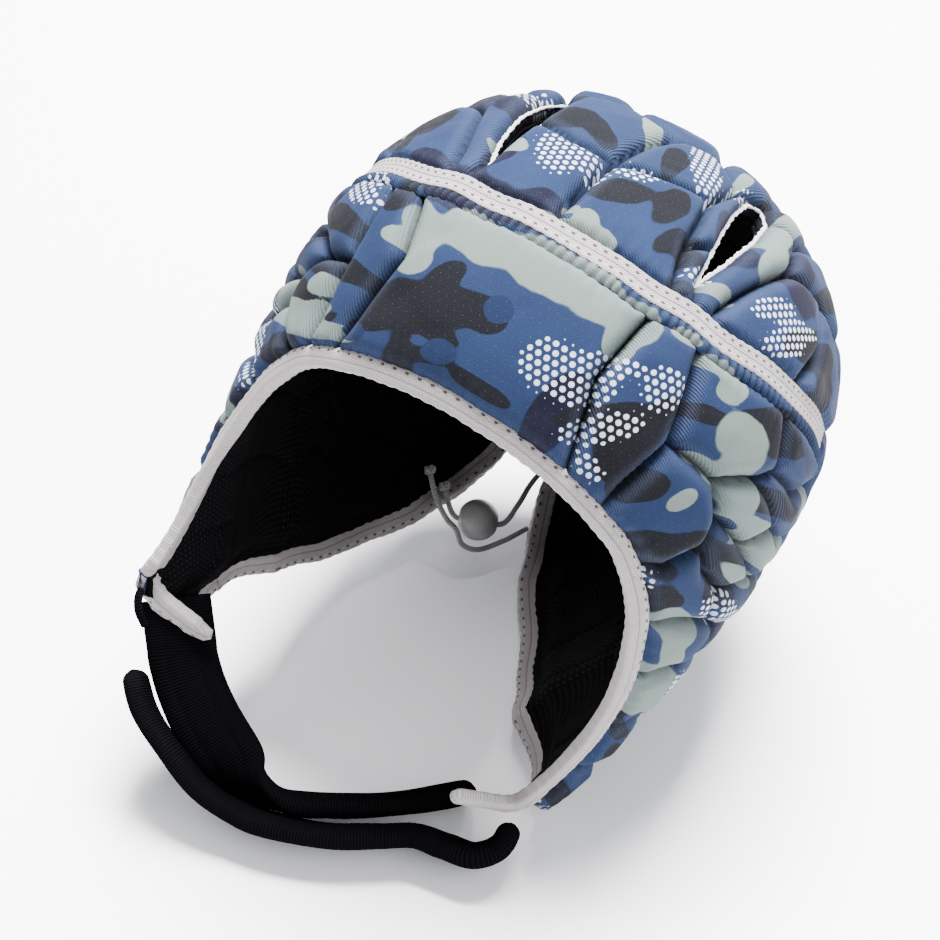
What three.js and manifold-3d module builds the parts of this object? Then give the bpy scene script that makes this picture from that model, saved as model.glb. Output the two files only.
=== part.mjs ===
// Padded rugby scrum cap with a chin strap, resting on a table, in mm with Z up.
// The cap is laid out upright: front to -Y, the wearer's left to +X, crown to +Z, and the widest
// line of the head at Z = 0. The finished cap is leaned into its resting pose at the end.
import * as THREE from 'three';
import Module from 'manifold-3d';

// Size of the padded outside
const WIDTH_RIGHT_HALF = 93; // the cap leans on its left side, which is pressed a little wider
const WIDTH_LEFT_HALF = 105;
const CAP_DEPTH = 222;
const CROWN_HEIGHT = 110;
const ROUNDNESS = 2.3; // 2 would make an ellipsoid, more makes it boxier
const WALL_UNIT = 150; // height in mm of one level below the widest line
const CURL_REACH = 110; // distance below the widest line at which the curl table holds

// How far the wall has curled inward at CURL_REACH, as a share of the width there
const CURL = [
  { azimuth: 0, left: 0.17, right: 0.22, power: 2.5 },
  { azimuth: 42, left: 0.17, right: 0.2, power: 2.5 },
  { azimuth: 53, left: 0.14, right: -0.05, power: 2.5 },
  { azimuth: 64, left: 0.16, right: 0.16, power: 2.4 },
  { azimuth: 76, left: 0.3, right: 0.26, power: 2.1 },
  { azimuth: 90, left: 0.49, right: 0.4, power: 1.8 },
  { azimuth: 130, left: 0.59, right: 0.57, power: 2 },
  { azimuth: 180, left: 0.72, right: 0.72, power: 2.5 },
];

// Fuller pads at the nape, which the cap lies on: middle, half width in degrees, half height in
// levels, and height in mm
const NAPE = { azimuth: 157, level: 1.46, turn: 17, rise: 0.12, height: 9 };

// The hem: how far the lowest part of the wall turns in, as a share of the width, and its drop
const HEM = [
  { level: 1.7, left: 0, right: 0, leftDrop: 0, rightDrop: 0 },
  { level: 1.76, left: 0.01, right: 0.02, leftDrop: 6, rightDrop: 8 },
  { level: 1.82, left: 0.035, right: 0.05, leftDrop: 9, rightDrop: 13 },
  { level: 1.88, left: 0.09, right: 0.11, leftDrop: 9, rightDrop: 16 },
  { level: 1.95, left: 0.17, right: 0.2, leftDrop: 7, rightDrop: 17 },
];

// Layers, measured inward from the tops of the pads
const GROOVE_DEPTH = 7.5;
const EDGE_DEPTH = 3.5; // groove depth beside a binding
const WEB = 2.5; // thickness of the fabric between pads
const CLEARANCE = 0.3;
const LINING = 1.2;

// Bindings
const BINDING_WIDTH = 7.6;
const BINDING_THICKNESS = 4.6;
const SEAM_TAPE_THICKNESS = 2.4;

// Resting pose
const LEAN_BACK = 26.2;
const LEAN_SIDE = 18.9;

// Longest straight step along a pad outline
const OUTLINE_STEP = 21;

// Edges of the cap from the front centre of the face opening to the tip of the flap,
// azimuth in degrees from the front, level 0 at the crown and 1 at the widest line
const FACE_EDGE = [
  { azimuth: 0, level: 0.863 },
  { azimuth: 10, level: 0.87 },
  { azimuth: 21, level: 0.9 },
  { azimuth: 34, level: 0.966 },
  { azimuth: 39, level: 1.02 },
  { azimuth: 44, level: 1.093 },
  { azimuth: 48, level: 1.18 },
  { azimuth: 51.5, level: 1.28 },
  { azimuth: 54, level: 1.39 },
  { azimuth: 55, level: 1.49 },
  { azimuth: 55, level: 1.58 },
  { azimuth: 54, level: 1.67 },
  { azimuth: 50, level: 1.76 },
  { azimuth: 41, level: 1.81 },
];

// Neck edge from the top of the nape slit round to the tip of the flap
const NECK_EDGE = [
  { azimuth: 180, level: 1.25 },
  { azimuth: 175.8, level: 1.27 },
  { azimuth: 173, level: 1.33 },
  { azimuth: 171.5, level: 1.41 },
  { azimuth: 168, level: 1.49 },
  { azimuth: 160, level: 1.56 },
  { azimuth: 150, level: 1.61 },
  { azimuth: 135, level: 1.65 },
  { azimuth: 115, level: 1.69 },
  { azimuth: 90, level: 1.7 },
  { azimuth: 78, level: 1.72 },
  { azimuth: 67, level: 1.79 },
  { azimuth: 58, level: 1.87 },
  { azimuth: 49, level: 1.9 },
  { azimuth: 41, level: 1.81 },
];

// Seam over the crown from its middle to its end beside the ear
const CROWN_SEAM = [
  { azimuth: 0, level: 0.49 },
  { azimuth: 12, level: 0.495 },
  { azimuth: 21, level: 0.512 },
  { azimuth: 31, level: 0.524 },
  { azimuth: 40, level: 0.552 },
  { azimuth: 54, level: 0.583 },
  { azimuth: 69, level: 0.635 },
  { azimuth: 80, level: 0.68 },
  { azimuth: 90, level: 0.735 },
];

// Groove across the back from its middle to the end of the crown seam
const REAR_GROOVE = [
  { azimuth: 180, level: 0.77 },
  { azimuth: 160, level: 0.77 },
  { azimuth: 135, level: 0.77 },
  { azimuth: 110, level: 0.76 },
  { azimuth: 90, level: 0.735 },
];

const EDGES = { face: FACE_EDGE, neck: NECK_EDGE, crown: CROWN_SEAM, rear: REAR_GROOVE };

// Pad corners on the sides, for the wearer's left; the mirrored side takes the last two where given
const SIDE_CORNERS = {
  b1: [17, 0.7, 27, 0.7],
  b2: [34, 0.76, 38, 0.77],
  b4: [46, 0.8],
  b3: [57, 0.785],
  c3: [63, 0.77],
  d4: [76, 0.83],
  d5: [94, 0.85],
  e4: [73, 0.9],
  e5: [84, 0.96],
  n5: [94, 0.965],
  g1: [43, 0.985],
  g2: [50, 0.93],
  g4: [54, 0.985],
  g3: [50, 0.87],
  h3: [61, 0.925],
  h4: [75, 1.035],
  h5: [94, 1.08],
  i3: [62, 1.035],
  j3: [64, 1.13],
  k4: [74, 1.17],
  k5: [94, 1.19],
  l3: [68, 1.27],
  l5: [94, 1.33],
  m3: [71, 1.43],
  m5: [94, 1.5],
  n3: [70, 1.58],
  s1: [112, 0.955],
  s2: [135, 0.95],
  s3: [158, 0.95],
  s4: [180, 0.95],
  t1: [122, 1.12],
  t2: [146, 1.12],
  t3: [167, 1.1],
  t4: [180, 1.11],
  u1: [110, 1.3],
  u2: [134, 1.3],
  u3: [156, 1.29],
  v1: [118, 1.48],
  v2: [143, 1.46],
};

// Pad corners over the crown, as shares of the level measured across and toward the back
const CROWN_CORNERS = {
  k1: [-0.04, -0.34],
  k2: [-0.03, -0.26],
  kn: [-0.12, -0.25],
  kp: [0.18, -0.34],
  kb: [0.16, -0.17],
  kc: [0.185, -0.02],
  kd: [0.12, 0.07],
  ke: [0.02, 0.03],
  kf: [-0.01, -0.12],
  kr: [-0.09, 0.08],
  v0: [0.244, -0.385],
  v1: [0.228, -0.28],
  vm: [0.217, -0.2],
  v2: [0.21, -0.1],
  v3: [0.212, 0.04],
  v4: [0.24, 0.1],
  v5: [0.272, 0.03],
  v6: [0.278, -0.12],
  v7: [0.264, -0.28],
  a1: [0.34, 0.07],
  a2: [0.37, -0.09],
  a3: [0.33, -0.28],
  b1: [0.46, 0.05],
  b2: [0.54, -0.12],
  c1: [0.58, 0.12],
  d1: [0.5, 0.28],
  d2: [0.37, 0.25],
  ta: [0.26, 0.24],
  tc: [0.1, 0.27],
  tb: [0.36, 0.44],
  td: [0.13, 0.51],
};

// Pads, each as its corners in order; a corner on an edge is the edge name and the row number,
// and ~ in front of a name takes the mirrored corner
const FOREHEAD_PADS = ['crown -3.9, crown 2.35, b1, face 1.85, face -2.45, ~b1'];
const SIDE_PADS = [
  'crown 2.35|3.9, crown 3.45|4.55, b2, face 2.4|2.95, face 1.85|2.45, b1',
  'crown 3.45|4.55, crown 5.4, c3, b3, b4, b2',
  'crown 5.4, crown 8, d5, d4, c3',
  'b2, b4, g3, g2, g1, face 3.4, face 2.4|2.95',
  'b4, b3, e4, h3, g3',
  'e4, e5, n5, h5, h4, h3',
  'c3, d4, d5, n5, e5, e4, b3',
  'g3, h3, h4, i3, g4, g2',
  'face 3.4, g1, g2, g4, i3, j3, face 5.4',
  'i3, h4, h5, k5, k4, j3',
  'face 5.4, j3, k4, l3, face 6.9',
  'k4, k5, l5, l3',
  'face 6.9, l3, m3, face 8.4',
  'l3, l5, m5, m3',
  'face 8.4, m3, n3, face 10',
  'm3, m5, neck 8.84, neck 10.6, n3',
  'face 10, n3, neck 10.6, neck 11.4|12, face 11.3|11.7',
];
const BACK_PADS = [
  'rear 4, rear 2.9, s1, n5, d5',
  'rear 2.9, rear 2, s2, s1',
  'rear 2, rear 1.1, s3, s2',
  'rear 1.1, rear 0, s4, s3',
  'n5, s1, t1, h5',
  's1, s2, t2, t1',
  's2, s3, t3, t2',
  's3, s4, t4, t3',
  'h5, t1, u1, l5, k5',
  't1, t2, u2, u1',
  't2, t3, u3, u2',
  't3, t4, neck 0, neck 2, u3',
  'l5, u1, v1, m5',
  'u1, u2, v2, v1',
  'u2, u3, neck 2, neck 4, v2',
  'm5, v1, neck 8, neck 8.84',
  'v1, v2, neck 6.6, neck 8',
  'v2, neck 4, neck 6.6',
];
const CROWN_PADS = [
  'crown -2.95, crown -0.5, k1, k2, kn, ~vm, ~v1, ~v0',
  'crown -0.5, crown 2.4, kp, kb, k2, k1',
  'crown 2.4, crown 2.95, v0, v1, kp',
  'kp, v1, vm, v2, v3, kc, kb',
  'k2, kb, kc, kd, ke, kf',
  'kn, k2, kf, ke, kr, ~v3, ~v2, ~vm',
  '~v3, kr, ~tc, ~ta, ~v4',
  'kr, ke, kd, tc, ~tc',
  'kd, kc, v3, v4, ta, tc',
  '~ta, ~tc, ~td, ~tb',
  '~tc, tc, td, ~td',
  'tc, ta, tb, td',
  '~tb, ~td, rear -0.8, rear -2',
  '~td, td, rear 0.8, rear -0.8',
  'td, tb, rear 2, rear 0.8',
];
const CROWN_SIDE_PADS = [
  'crown 2.95, crown 3.35, a3, a2, a1, v5, v6, v7, v0',
  'crown 3.35, crown 5.5, b2, b1, a2, a3',
  'crown 5.5, crown 8, rear 3.4, c1, b1, b2',
  'a1, a2, b1, c1, d1, d2',
  'v5, a1, d2, ta, v4',
  'c1, rear 3.4, rear 2.6, d1',
  'd2, d1, rear 2.6, rear 2, tb, ta',
];
const VENT = 'v0, v7, v6, v5, v4, v3, v2, vm, v1';

const RAD = Math.PI / 180;

function lookUp(rows, key, value, at) {
  let i = 0;
  while (i < rows.length - 2 && at > rows[i + 1][key]) i += 1;
  const span = rows[i + 1][key] - rows[i][key];
  const share = Math.min(1, Math.max(0, (at - rows[i][key]) / span));
  return rows[i][value] + share * (rows[i + 1][value] - rows[i][value]);
}

// Chart: a flat map of the cap with the crown at its centre and the front toward -y
function chartPoint(azimuth, level) {
  return [level * Math.sin(azimuth * RAD), -level * Math.cos(azimuth * RAD)];
}

function outside([x, y]) {
  const level = Math.hypot(x, y);
  const turn = level < 1e-9 ? 0 : Math.atan2(x, -y);
  const rise = level < 1 ? (1 - level) * Math.PI / 2 : 0;
  const dir = new THREE.Vector3(
    Math.sin(turn) * Math.cos(rise), -Math.cos(turn) * Math.cos(rise), Math.sin(rise));
  const half = dir.x > 0 ? WIDTH_LEFT_HALF : WIDTH_RIGHT_HALF;
  const sum = Math.abs(dir.x / half) ** ROUNDNESS
    + Math.abs(dir.y / (CAP_DEPTH / 2)) ** ROUNDNESS
    + Math.abs(dir.z / CROWN_HEIGHT) ** ROUNDNESS;
  const point = dir.multiplyScalar(sum ** (-1 / ROUNDNESS));
  if (level > 1) {
    const wall = WALL_UNIT * (Math.min(level, HEM[0].level) - 1);
    const side = x > 0 ? 'left' : 'right';
    const azimuth = Math.abs(turn) / RAD;
    const curl = lookUp(CURL, 'azimuth', side, azimuth);
    const power = lookUp(CURL, 'azimuth', 'power', azimuth);
    const scale = 1 - curl * (wall / CURL_REACH) ** power - lookUp(HEM, 'level', side, level);
    point.set(point.x * scale, point.y * scale, -wall - lookUp(HEM, 'level', `${side}Drop`, level));
    const across = Math.max(0, 1 - ((azimuth - NAPE.azimuth) / NAPE.turn) ** 2);
    const upright = Math.max(0, 1 - ((level - NAPE.level) / NAPE.rise) ** 2);
    const full = NAPE.height * (across * upright) ** 2;
    point.x += 0.6 * full * Math.sin(turn);
    point.y -= 0.6 * full * Math.cos(turn);
    point.z -= 0.8 * full;
  }
  return point;
}

function outward(at) {
  const h = 0.004;
  const across = outside([at[0] + h, at[1]]).sub(outside([at[0] - h, at[1]]));
  const along = outside([at[0], at[1] + h]).sub(outside([at[0], at[1] - h]));
  return across.cross(along).normalize();
}

function layered(at, depth) {
  return outside(at).addScaledVector(outward(at), -depth);
}

// Point of an edge at a row number, negative numbers on the wearer's right
function edgePoint(name, place) {
  const rows = EDGES[name];
  const size = Math.abs(place);
  const i = Math.min(rows.length - 2, Math.floor(size));
  const pick = (k) => rows[Math.min(rows.length - 1, Math.max(0, k))];
  const turn = Math.sign(place) || 1;
  const four = [i - 1, i, i + 1, i + 2].map((k) => {
    const row = k < 0 ? rows[-k] : pick(k);
    let azimuth = row.azimuth;
    if (k < 0) azimuth = rows[0].azimuth === 180 ? 360 - azimuth : -azimuth;
    return { azimuth, level: row.level };
  });
  const s = size - i;
  const blend = (key) => {
    const [p, q, r, t] = four.map((row) => row[key]);
    return q + 0.5 * s * (r - p + s * (2 * p - 5 * q + 4 * r - t + s * (3 * (q - r) + t - p)));
  };
  return chartPoint(turn * blend('azimuth'), blend('level'));
}

// Reads one pad's corner list into chart corners; side is 1 for the wearer's left, -1 mirrored
function readCorners(text, table, side) {
  return text.split(',').map((word) => {
    const parts = word.trim().split(' ');
    if (parts.length === 2) {
      const places = parts[1].split('|').map(Number);
      const place = side * (side < 0 && places.length > 1 ? places[1] : places[0]);
      const key = `${parts[0]} ${place.toFixed(3)}`;
      return { key, edge: parts[0], place, at: edgePoint(parts[0], place) };
    }
    const flipped = parts[0].startsWith('~');
    const name = flipped ? parts[0].slice(1) : parts[0];
    const turn = flipped ? -side : side;
    const row = table[name];
    let at;
    if (table === CROWN_CORNERS) at = [turn * row[0], row[1]];
    else if (turn < 0 && row.length > 2) at = chartPoint(-row[2], row[3]);
    else at = chartPoint(turn * row[0], row[1]);
    return { key: name + (Math.abs(at[0]) < 1e-9 ? '' : turn), edge: '', place: 0, at };
  });
}

// Points along one side of a pad, from its first corner up to but not including the second
function outlineSide(from, to) {
  const swap = from.key > to.key;
  const [p, q] = swap ? [to, from] : [from, to];
  const onEdge = p.edge !== '' && p.edge === q.edge;
  const length = outside(p.at).distanceTo(outside(q.at));
  const curved = onEdge ? Math.max(length / 13, Math.abs(q.place - p.place)) : 1;
  const steps = Math.round(Math.max(1, length / OUTLINE_STEP, curved));
  const points = [];
  for (let i = 0; i <= steps; i += 1) {
    const share = i / steps;
    const at = onEdge
      ? edgePoint(p.edge, p.place + share * (q.place - p.place))
      : [p.at[0] + share * (q.at[0] - p.at[0]), p.at[1] + share * (q.at[1] - p.at[1])];
    const ends = i === 0 ? p.key : q.key;
    const key = i === 0 || i === steps ? ends : `${p.key}/${q.key}/${i}`;
    const corner = i === 0 ? p : q;
    const edges = i === 0 || i === steps ? corner.edge : (onEdge ? p.edge : '');
    points.push({ key, at, edge: edges });
  }
  if (swap) points.reverse();
  return { points: points.slice(0, -1), bound: onEdge ? p.edge : '' };
}

function readPads(lists, table, side) {
  return lists.map((text) => {
    const corners = readCorners(text, table, side);
    const area = corners.reduce((sum, c, i) => {
      const d = corners[(i + 1) % corners.length];
      return sum + c.at[0] * d.at[1] - c.at[1] * d.at[0];
    }, 0);
    if (area < 0) corners.reverse();
    const loop = [];
    corners.forEach((corner, i) => {
      const { points, bound } = outlineSide(corner, corners[(i + 1) % corners.length]);
      points.forEach((point) => loop.push({ ...point, bound }));
    });
    return loop;
  });
}

// The straight steps of a rim bulge toward its binding, most where the edge turns round the flap
const RIM_BULGE = { face: 1.4, neck: 1.4, crown: 0.9 };

function setback(bound) {
  if (!bound || !(bound in RIM_BULGE)) return CLEARANCE / 2 + 0.02;
  return BINDING_WIDTH / 2 + CLEARANCE + RIM_BULGE[bound];
}

function depthOf(point, table) {
  return point.edge === 'rear' || point.edge === '' ? table.groove : table.edge;
}

// One closed sheet over a set of pads. layer.top and layer.under give the depths of its two faces.
function padSheet(pads, layer) {
  const positions = [];
  const index = [];
  const shared = new Map();
  const add = (vector) => positions.push(vector.x, vector.y, vector.z) / 3 - 1;

  // sides of pads that only one pad uses are the rim of the sheet
  const uses = new Map();
  pads.forEach((loop) => loop.forEach((point, i) => {
    const next = loop[(i + 1) % loop.length];
    const name = [point.key, next.key].sort().join('|');
    uses.set(name, (uses.get(name) ?? 0) + 1);
  }));
  const rim = [];
  pads.forEach((loop) => loop.forEach((point, i) => {
    const next = loop[(i + 1) % loop.length];
    if (uses.get([point.key, next.key].sort().join('|')) === 1) {
      rim.push({ from: point, to: next, bound: point.bound });
    }
  }));

  // the rim is set back from its line by half a binding or half a clearance
  const shift = new Map();
  rim.forEach((side) => {
    const a = outside(side.from.at);
    const b = outside(side.to.at);
    const normal = outward(side.from.at);
    const away = b.clone().sub(a).normalize().cross(normal).normalize();
    const back = layer.open?.(side) ? 0 : setback(side.bound);
    [side.from, side.to].forEach((point) => {
      if (!shift.has(point.key)) shift.set(point.key, []);
      shift.get(point.key).push({ away, back });
    });
  });
  const moved = (key) => {
    const list = shift.get(key);
    if (!list) return new THREE.Vector3();
    const [p, q] = [list[0], list[1] ?? list[0]];
    const dot = p.away.dot(q.away);
    if (dot > 0.95) {
      const mean = p.away.clone().add(q.away).normalize();
      return mean.multiplyScalar(-(p.back + q.back) / 2);
    }
    const det = 1 - dot * dot;
    const s = (-p.back + q.back * dot) / det;
    const t = (-q.back + p.back * dot) / det;
    return p.away.clone().multiplyScalar(s).addScaledVector(q.away, t);
  };

  const rimVertex = (point, face) => {
    const key = `${face} ${point.key}`;
    if (!shared.has(key)) {
      const depth = depthOf(point, layer[face]);
      shared.set(key, add(layered(point.at, depth).add(moved(point.key))));
    }
    return shared.get(key);
  };

  pads.forEach((loop) => {
    const middle = [0, 1].map((k) => loop.reduce((sum, p) => sum + p.at[k], 0) / loop.length);
    ['top', 'under'].forEach((face) => {
      const flip = face === 'under';
      const tri = (a, b, c) => (flip ? index.push(a, c, b) : index.push(a, b, c));
      let ring = loop.map((point) => rimVertex(point, face));
      layer[face].rings.forEach(({ inset, depth }) => {
        const inner = loop.map((point) => {
          const at = [0, 1].map((k) => point.at[k] + inset * (middle[k] - point.at[k]));
          const start = depthOf(point, layer[face]);
          const vector = layered(at, start + depth * (layer[face].crest - start));
          return add(vector.addScaledVector(moved(point.key), 1 - inset));
        });
        ring.forEach((a, i) => {
          const j = (i + 1) % ring.length;
          tri(a, ring[j], inner[j]);
          tri(a, inner[j], inner[i]);
        });
        ring = inner;
      });
      const hub = add(layered(middle, layer[face].crest));
      ring.forEach((a, i) => tri(a, ring[(i + 1) % ring.length], hub));
    });
  });
  rim.forEach(({ from, to }) => {
    const [a, b] = [rimVertex(from, 'top'), rimVertex(to, 'top')];
    const [c, d] = [rimVertex(from, 'under'), rimVertex(to, 'under')];
    index.push(a, c, d, a, d, b);
  });
  const geometry = new THREE.BufferGeometry();
  geometry.setAttribute('position', new THREE.Float32BufferAttribute(positions, 3));
  geometry.setIndex(index);
  return geometry;
}

const PANEL_UNDER = GROOVE_DEPTH + WEB;
const EDGE_UNDER = EDGE_DEPTH + WEB;
const PANEL = {
  top: {
    groove: GROOVE_DEPTH,
    edge: EDGE_DEPTH,
    crest: 0,
    rings: [{ inset: 0.17, depth: 0.78 }, { inset: 0.45, depth: 1 }],
  },
  under: { groove: PANEL_UNDER, edge: EDGE_UNDER, crest: PANEL_UNDER, rings: [] },
};
const INNER = {
  top: {
    groove: PANEL_UNDER + CLEARANCE,
    edge: EDGE_UNDER + CLEARANCE,
    crest: PANEL_UNDER + CLEARANCE,
    rings: [],
  },
  under: {
    groove: PANEL_UNDER + CLEARANCE + LINING,
    edge: EDGE_UNDER + CLEARANCE + LINING,
    crest: PANEL_UNDER + CLEARANCE + LINING,
    rings: [],
  },
};

// Closed strip with a rounded section, swept through frames of { at, across, up }
function sweptStrip(frames, width, thickness, closed = false) {
  const bevel = Math.min(width, thickness) * 0.3;
  const w = width / 2;
  const t = thickness / 2;
  const section = [
    [w, t - bevel], [w - bevel, t], [bevel - w, t], [-w, t - bevel],
    [-w, bevel - t], [bevel - w, -t], [w - bevel, -t], [w, bevel - t],
  ];
  const positions = [];
  const index = [];
  frames.forEach(({ at, across, up, narrow = 1 }) => section.forEach(([a, b]) => {
    const p = at.clone().addScaledVector(across, a * narrow).addScaledVector(up, b);
    positions.push(p.x, p.y, p.z);
  }));
  const n = section.length;
  const rows = closed ? frames.length : frames.length - 1;
  for (let i = 0; i < rows; i += 1) {
    const next = (i + 1) % frames.length;
    for (let k = 0; k < n; k += 1) {
      const m = (k + 1) % n;
      index.push(i * n + k, next * n + m, next * n + k);
      index.push(i * n + k, i * n + m, next * n + m);
    }
  }
  if (!closed) {
    const last = (frames.length - 1) * n;
    for (let k = 1; k < n - 1; k += 1) {
      index.push(0, k + 1, k);
      index.push(last, last + k, last + k + 1);
    }
  }
  const geometry = new THREE.BufferGeometry();
  geometry.setAttribute('position', new THREE.Float32BufferAttribute(positions, 3));
  geometry.setIndex(index);
  return geometry;
}

function edgeFrames(name, from, to, steps, depth) {
  const ats = [];
  for (let i = 0; i <= steps; i += 1) ats.push(edgePoint(name, from + (to - from) * i / steps));
  const points = ats.map((at) => layered(at, depth));
  return points.map((at, i) => {
    const before = points[Math.max(0, i - 1)];
    const after = points[Math.min(points.length - 1, i + 1)];
    const along = after.clone().sub(before).normalize();
    const up = outward(ats[i]);
    const across = up.clone().cross(along).normalize();
    return { at, across, up: along.clone().cross(across).normalize() };
  });
}

// Perforations behind each ear, cut through panel and lining
const PERFORATION = 3.2;
const EAR_HOLES = [
  { azimuth: 117, level: 1.35 },
  { azimuth: 123, level: 1.29 },
  { azimuth: 128, level: 1.37 },
  { azimuth: 109, level: 1.4 },
  { azimuth: 121, level: 1.43 },
  { azimuth: 111, level: 1.48 },
];

// Chin strap, leaning on its lower edge where it crosses the table. Its centre line is measured
// from the table up below the cap's origin; wx, wy and wz point across its width.
const STRAP_WIDTH = 25;
const STRAP_THICKNESS = 8;
const INNER_STRAP = [
  { x: -97.2, y: -92.3, z: 52.7, wx: 0.95, wy: 0.32, wz: 0 },
  { x: -94.8, y: -96.5, z: 47.2, wx: 0.95, wy: 0.3, wz: 0.05 },
  { x: -89.5, y: -102.5, z: 40, wx: 0.93, wy: 0.1, wz: 0.25 },
  { x: -81.5, y: -109, z: 32, wx: 0.75, wy: -0.3, wz: 0.5 },
  { x: -71.5, y: -114.5, z: 23.5, wx: 0.5, wy: -0.6, wz: 0.6 },
  { x: -62, y: -118, z: 15.5, wx: 0.3, wy: -0.7, wz: 0.67 },
  { x: -47, y: -118, z: 12, wx: 0.24, wy: -0.7, wz: 0.67 },
  { x: -33.5, y: -114.5, z: 11.5, wx: 0.24, wy: -0.7, wz: 0.67 },
  { x: -20.3, y: -110, z: 11.5, wx: 0.24, wy: -0.7, wz: 0.67 },
  { x: -7.5, y: -104, z: 11.5, wx: 0.24, wy: -0.7, wz: 0.67 },
  { x: 3.5, y: -98, z: 12, wx: 0.24, wy: -0.7, wz: 0.67 },
  { x: 13, y: -92.5, z: 13, wx: 0.24, wy: -0.7, wz: 0.67 },
];
const OUTER_STRAP = [
  { x: -110, y: -106, z: 46, wx: 0.24, wy: -0.7, wz: 0.67 },
  { x: -102.5, y: -115, z: 36.5, wx: 0.24, wy: -0.7, wz: 0.67 },
  { x: -90.5, y: -122, z: 27.5, wx: 0.24, wy: -0.7, wz: 0.67 },
  { x: -77, y: -127, z: 17, wx: 0.24, wy: -0.7, wz: 0.67 },
  { x: -62, y: -129, z: 11.6, wx: 0.24, wy: -0.7, wz: 0.67 },
  { x: -46.4, y: -130, z: 11.5, wx: 0.24, wy: -0.7, wz: 0.67 },
  { x: -28.4, y: -128, z: 11.5, wx: 0.24, wy: -0.7, wz: 0.67 },
  { x: -12, y: -122.5, z: 11.5, wx: 0.24, wy: -0.7, wz: 0.67 },
  { x: -0.5, y: -118.5, z: 11.5, wx: 0.24, wy: -0.7, wz: 0.67 },
  { x: 10.8, y: -119.5, z: 11.5, wx: 0.24, wy: -0.7, wz: 0.67 },
  { x: 22, y: -120.5, z: 12, wx: 0.24, wy: -0.7, wz: 0.67 },
  { x: 29.5, y: -115.5, z: 14, wx: 0.24, wy: -0.7, wz: 0.67 },
  { x: 31.7, y: -108.2, z: 18.5, wx: 0.24, wy: -0.7, wz: 0.67 },
];
const STRAP_STEPS = 20;

// Lace across the nape slit with its ball cord lock
const CORD = 3.2;
const KNOT = 5.4;
const TOGGLE = 16.4;
const TOGGLE_BORE = 5.8;
const TOGGLE_AT = { x: -3, y: 67, z: -74 };
const TOGGLE_AXIS = { x: 0.92, y: 0.28, z: 0.27 };
const LOWER_LACE = [
  { x: -28.5, y: 63, z: -65 },
  { x: -21, y: 60, z: -72 },
  { x: -13.5, y: 60, z: -77.5 },
  { x: -8, y: 59, z: -79 },
  { x: -3, y: 60, z: -83.5 },
  { x: 3, y: 64, z: -83.5 },
  { x: 9, y: 71, z: -78 },
  { x: 14, y: 81, z: -72 },
];
const UPPER_LACE = [
  { x: -21, y: 66.5, z: -69 },
  { x: -11.7, y: 64.3, z: -76.6 },
  { x: -3, y: 67, z: -74 },
  { x: 5.7, y: 69.7, z: -71.4 },
  { x: 7, y: 75, z: -64 },
  { x: 6.5, y: 83.5, z: -57 },
  { x: 7, y: 89.6, z: -52.3 },
];

const wasm = await Module();
wasm.setup();

function solidOf(geometry) {
  return new wasm.Manifold(new wasm.Mesh({
    numProp: 3,
    vertProperties: new Float32Array(geometry.getAttribute('position').array),
    triVerts: new Uint32Array(geometry.index.array),
  }));
}

function geometryOf(solid) {
  const mesh = solid.getMesh();
  const geometry = new THREE.BufferGeometry();
  geometry.setAttribute('position', new THREE.BufferAttribute(mesh.vertProperties, 3));
  geometry.setIndex(new THREE.BufferAttribute(mesh.triVerts, 1));
  return geometry;
}

// Matrix that puts a shape drawn along Z at a point and along a direction
function placed(at, direction) {
  const turn = new THREE.Quaternion().setFromUnitVectors(
    new THREE.Vector3(0, 0, 1), direction.clone().normalize());
  return new THREE.Matrix4().compose(at, turn, new THREE.Vector3(1, 1, 1)).elements;
}

function smoothPath(rows, steps, keys) {
  const path = [];
  for (let i = 0; i <= steps; i += 1) {
    const place = i * (rows.length - 1) / steps;
    const k = Math.min(rows.length - 2, Math.floor(place));
    const s = place - k;
    const [p, q, r, t] = [k - 1, k, k + 1, k + 2].map(
      (m) => rows[Math.min(rows.length - 1, Math.max(0, m))]);
    path.push(new THREE.Vector3(...keys.map((key) => q[key] + 0.5 * s * (r[key] - p[key]
      + s * (2 * p[key] - 5 * q[key] + 4 * r[key] - t[key]
      + s * (3 * (q[key] - r[key]) + t[key] - p[key]))))));
  }
  return path;
}

function framesAlong(points, width) {
  return points.map((at, i) => {
    const before = points[Math.max(0, i - 1)];
    const after = points[Math.min(points.length - 1, i + 1)];
    const along = after.clone().sub(before).normalize();
    const hint = width(i);
    const across = hint.clone().addScaledVector(along, -hint.dot(along)).normalize();
    return { at, across, up: along.clone().cross(across).normalize() };
  });
}

function strap(rows) {
  const points = smoothPath(rows, STRAP_STEPS, ['x', 'y', 'z']);
  const width = smoothPath(rows, STRAP_STEPS, ['wx', 'wy', 'wz']);
  const frames = framesAlong(points, (i) => width[i]);
  const ends = { 0: 0.72, 1: 0.95 };
  frames.forEach((frame, i) => {
    frame.narrow = ends[Math.min(i, frames.length - 1 - i)] ?? 1;
  });
  const geometry = sweptStrip(frames, STRAP_WIDTH, STRAP_THICKNESS);
  geometry.computeBoundingBox();
  return geometry.translate(0, 0, -geometry.boundingBox.min.z);
}

function ball(at, diameter, sides) {
  return wasm.Manifold.sphere(diameter / 2, sides).translate([at.x, at.y, at.z]);
}

// A lace cord with a knot at its first end
function cord(rows) {
  const points = smoothPath(rows, 3 * (rows.length - 1), ['x', 'y', 'z']);
  const width = new THREE.Vector3(0.3, 0.9, 0.1);
  const run = solidOf(sweptStrip(framesAlong(points, () => width), CORD, CORD));
  return geometryOf(run.add(ball(rows[0], KNOT, 10)));
}

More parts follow.
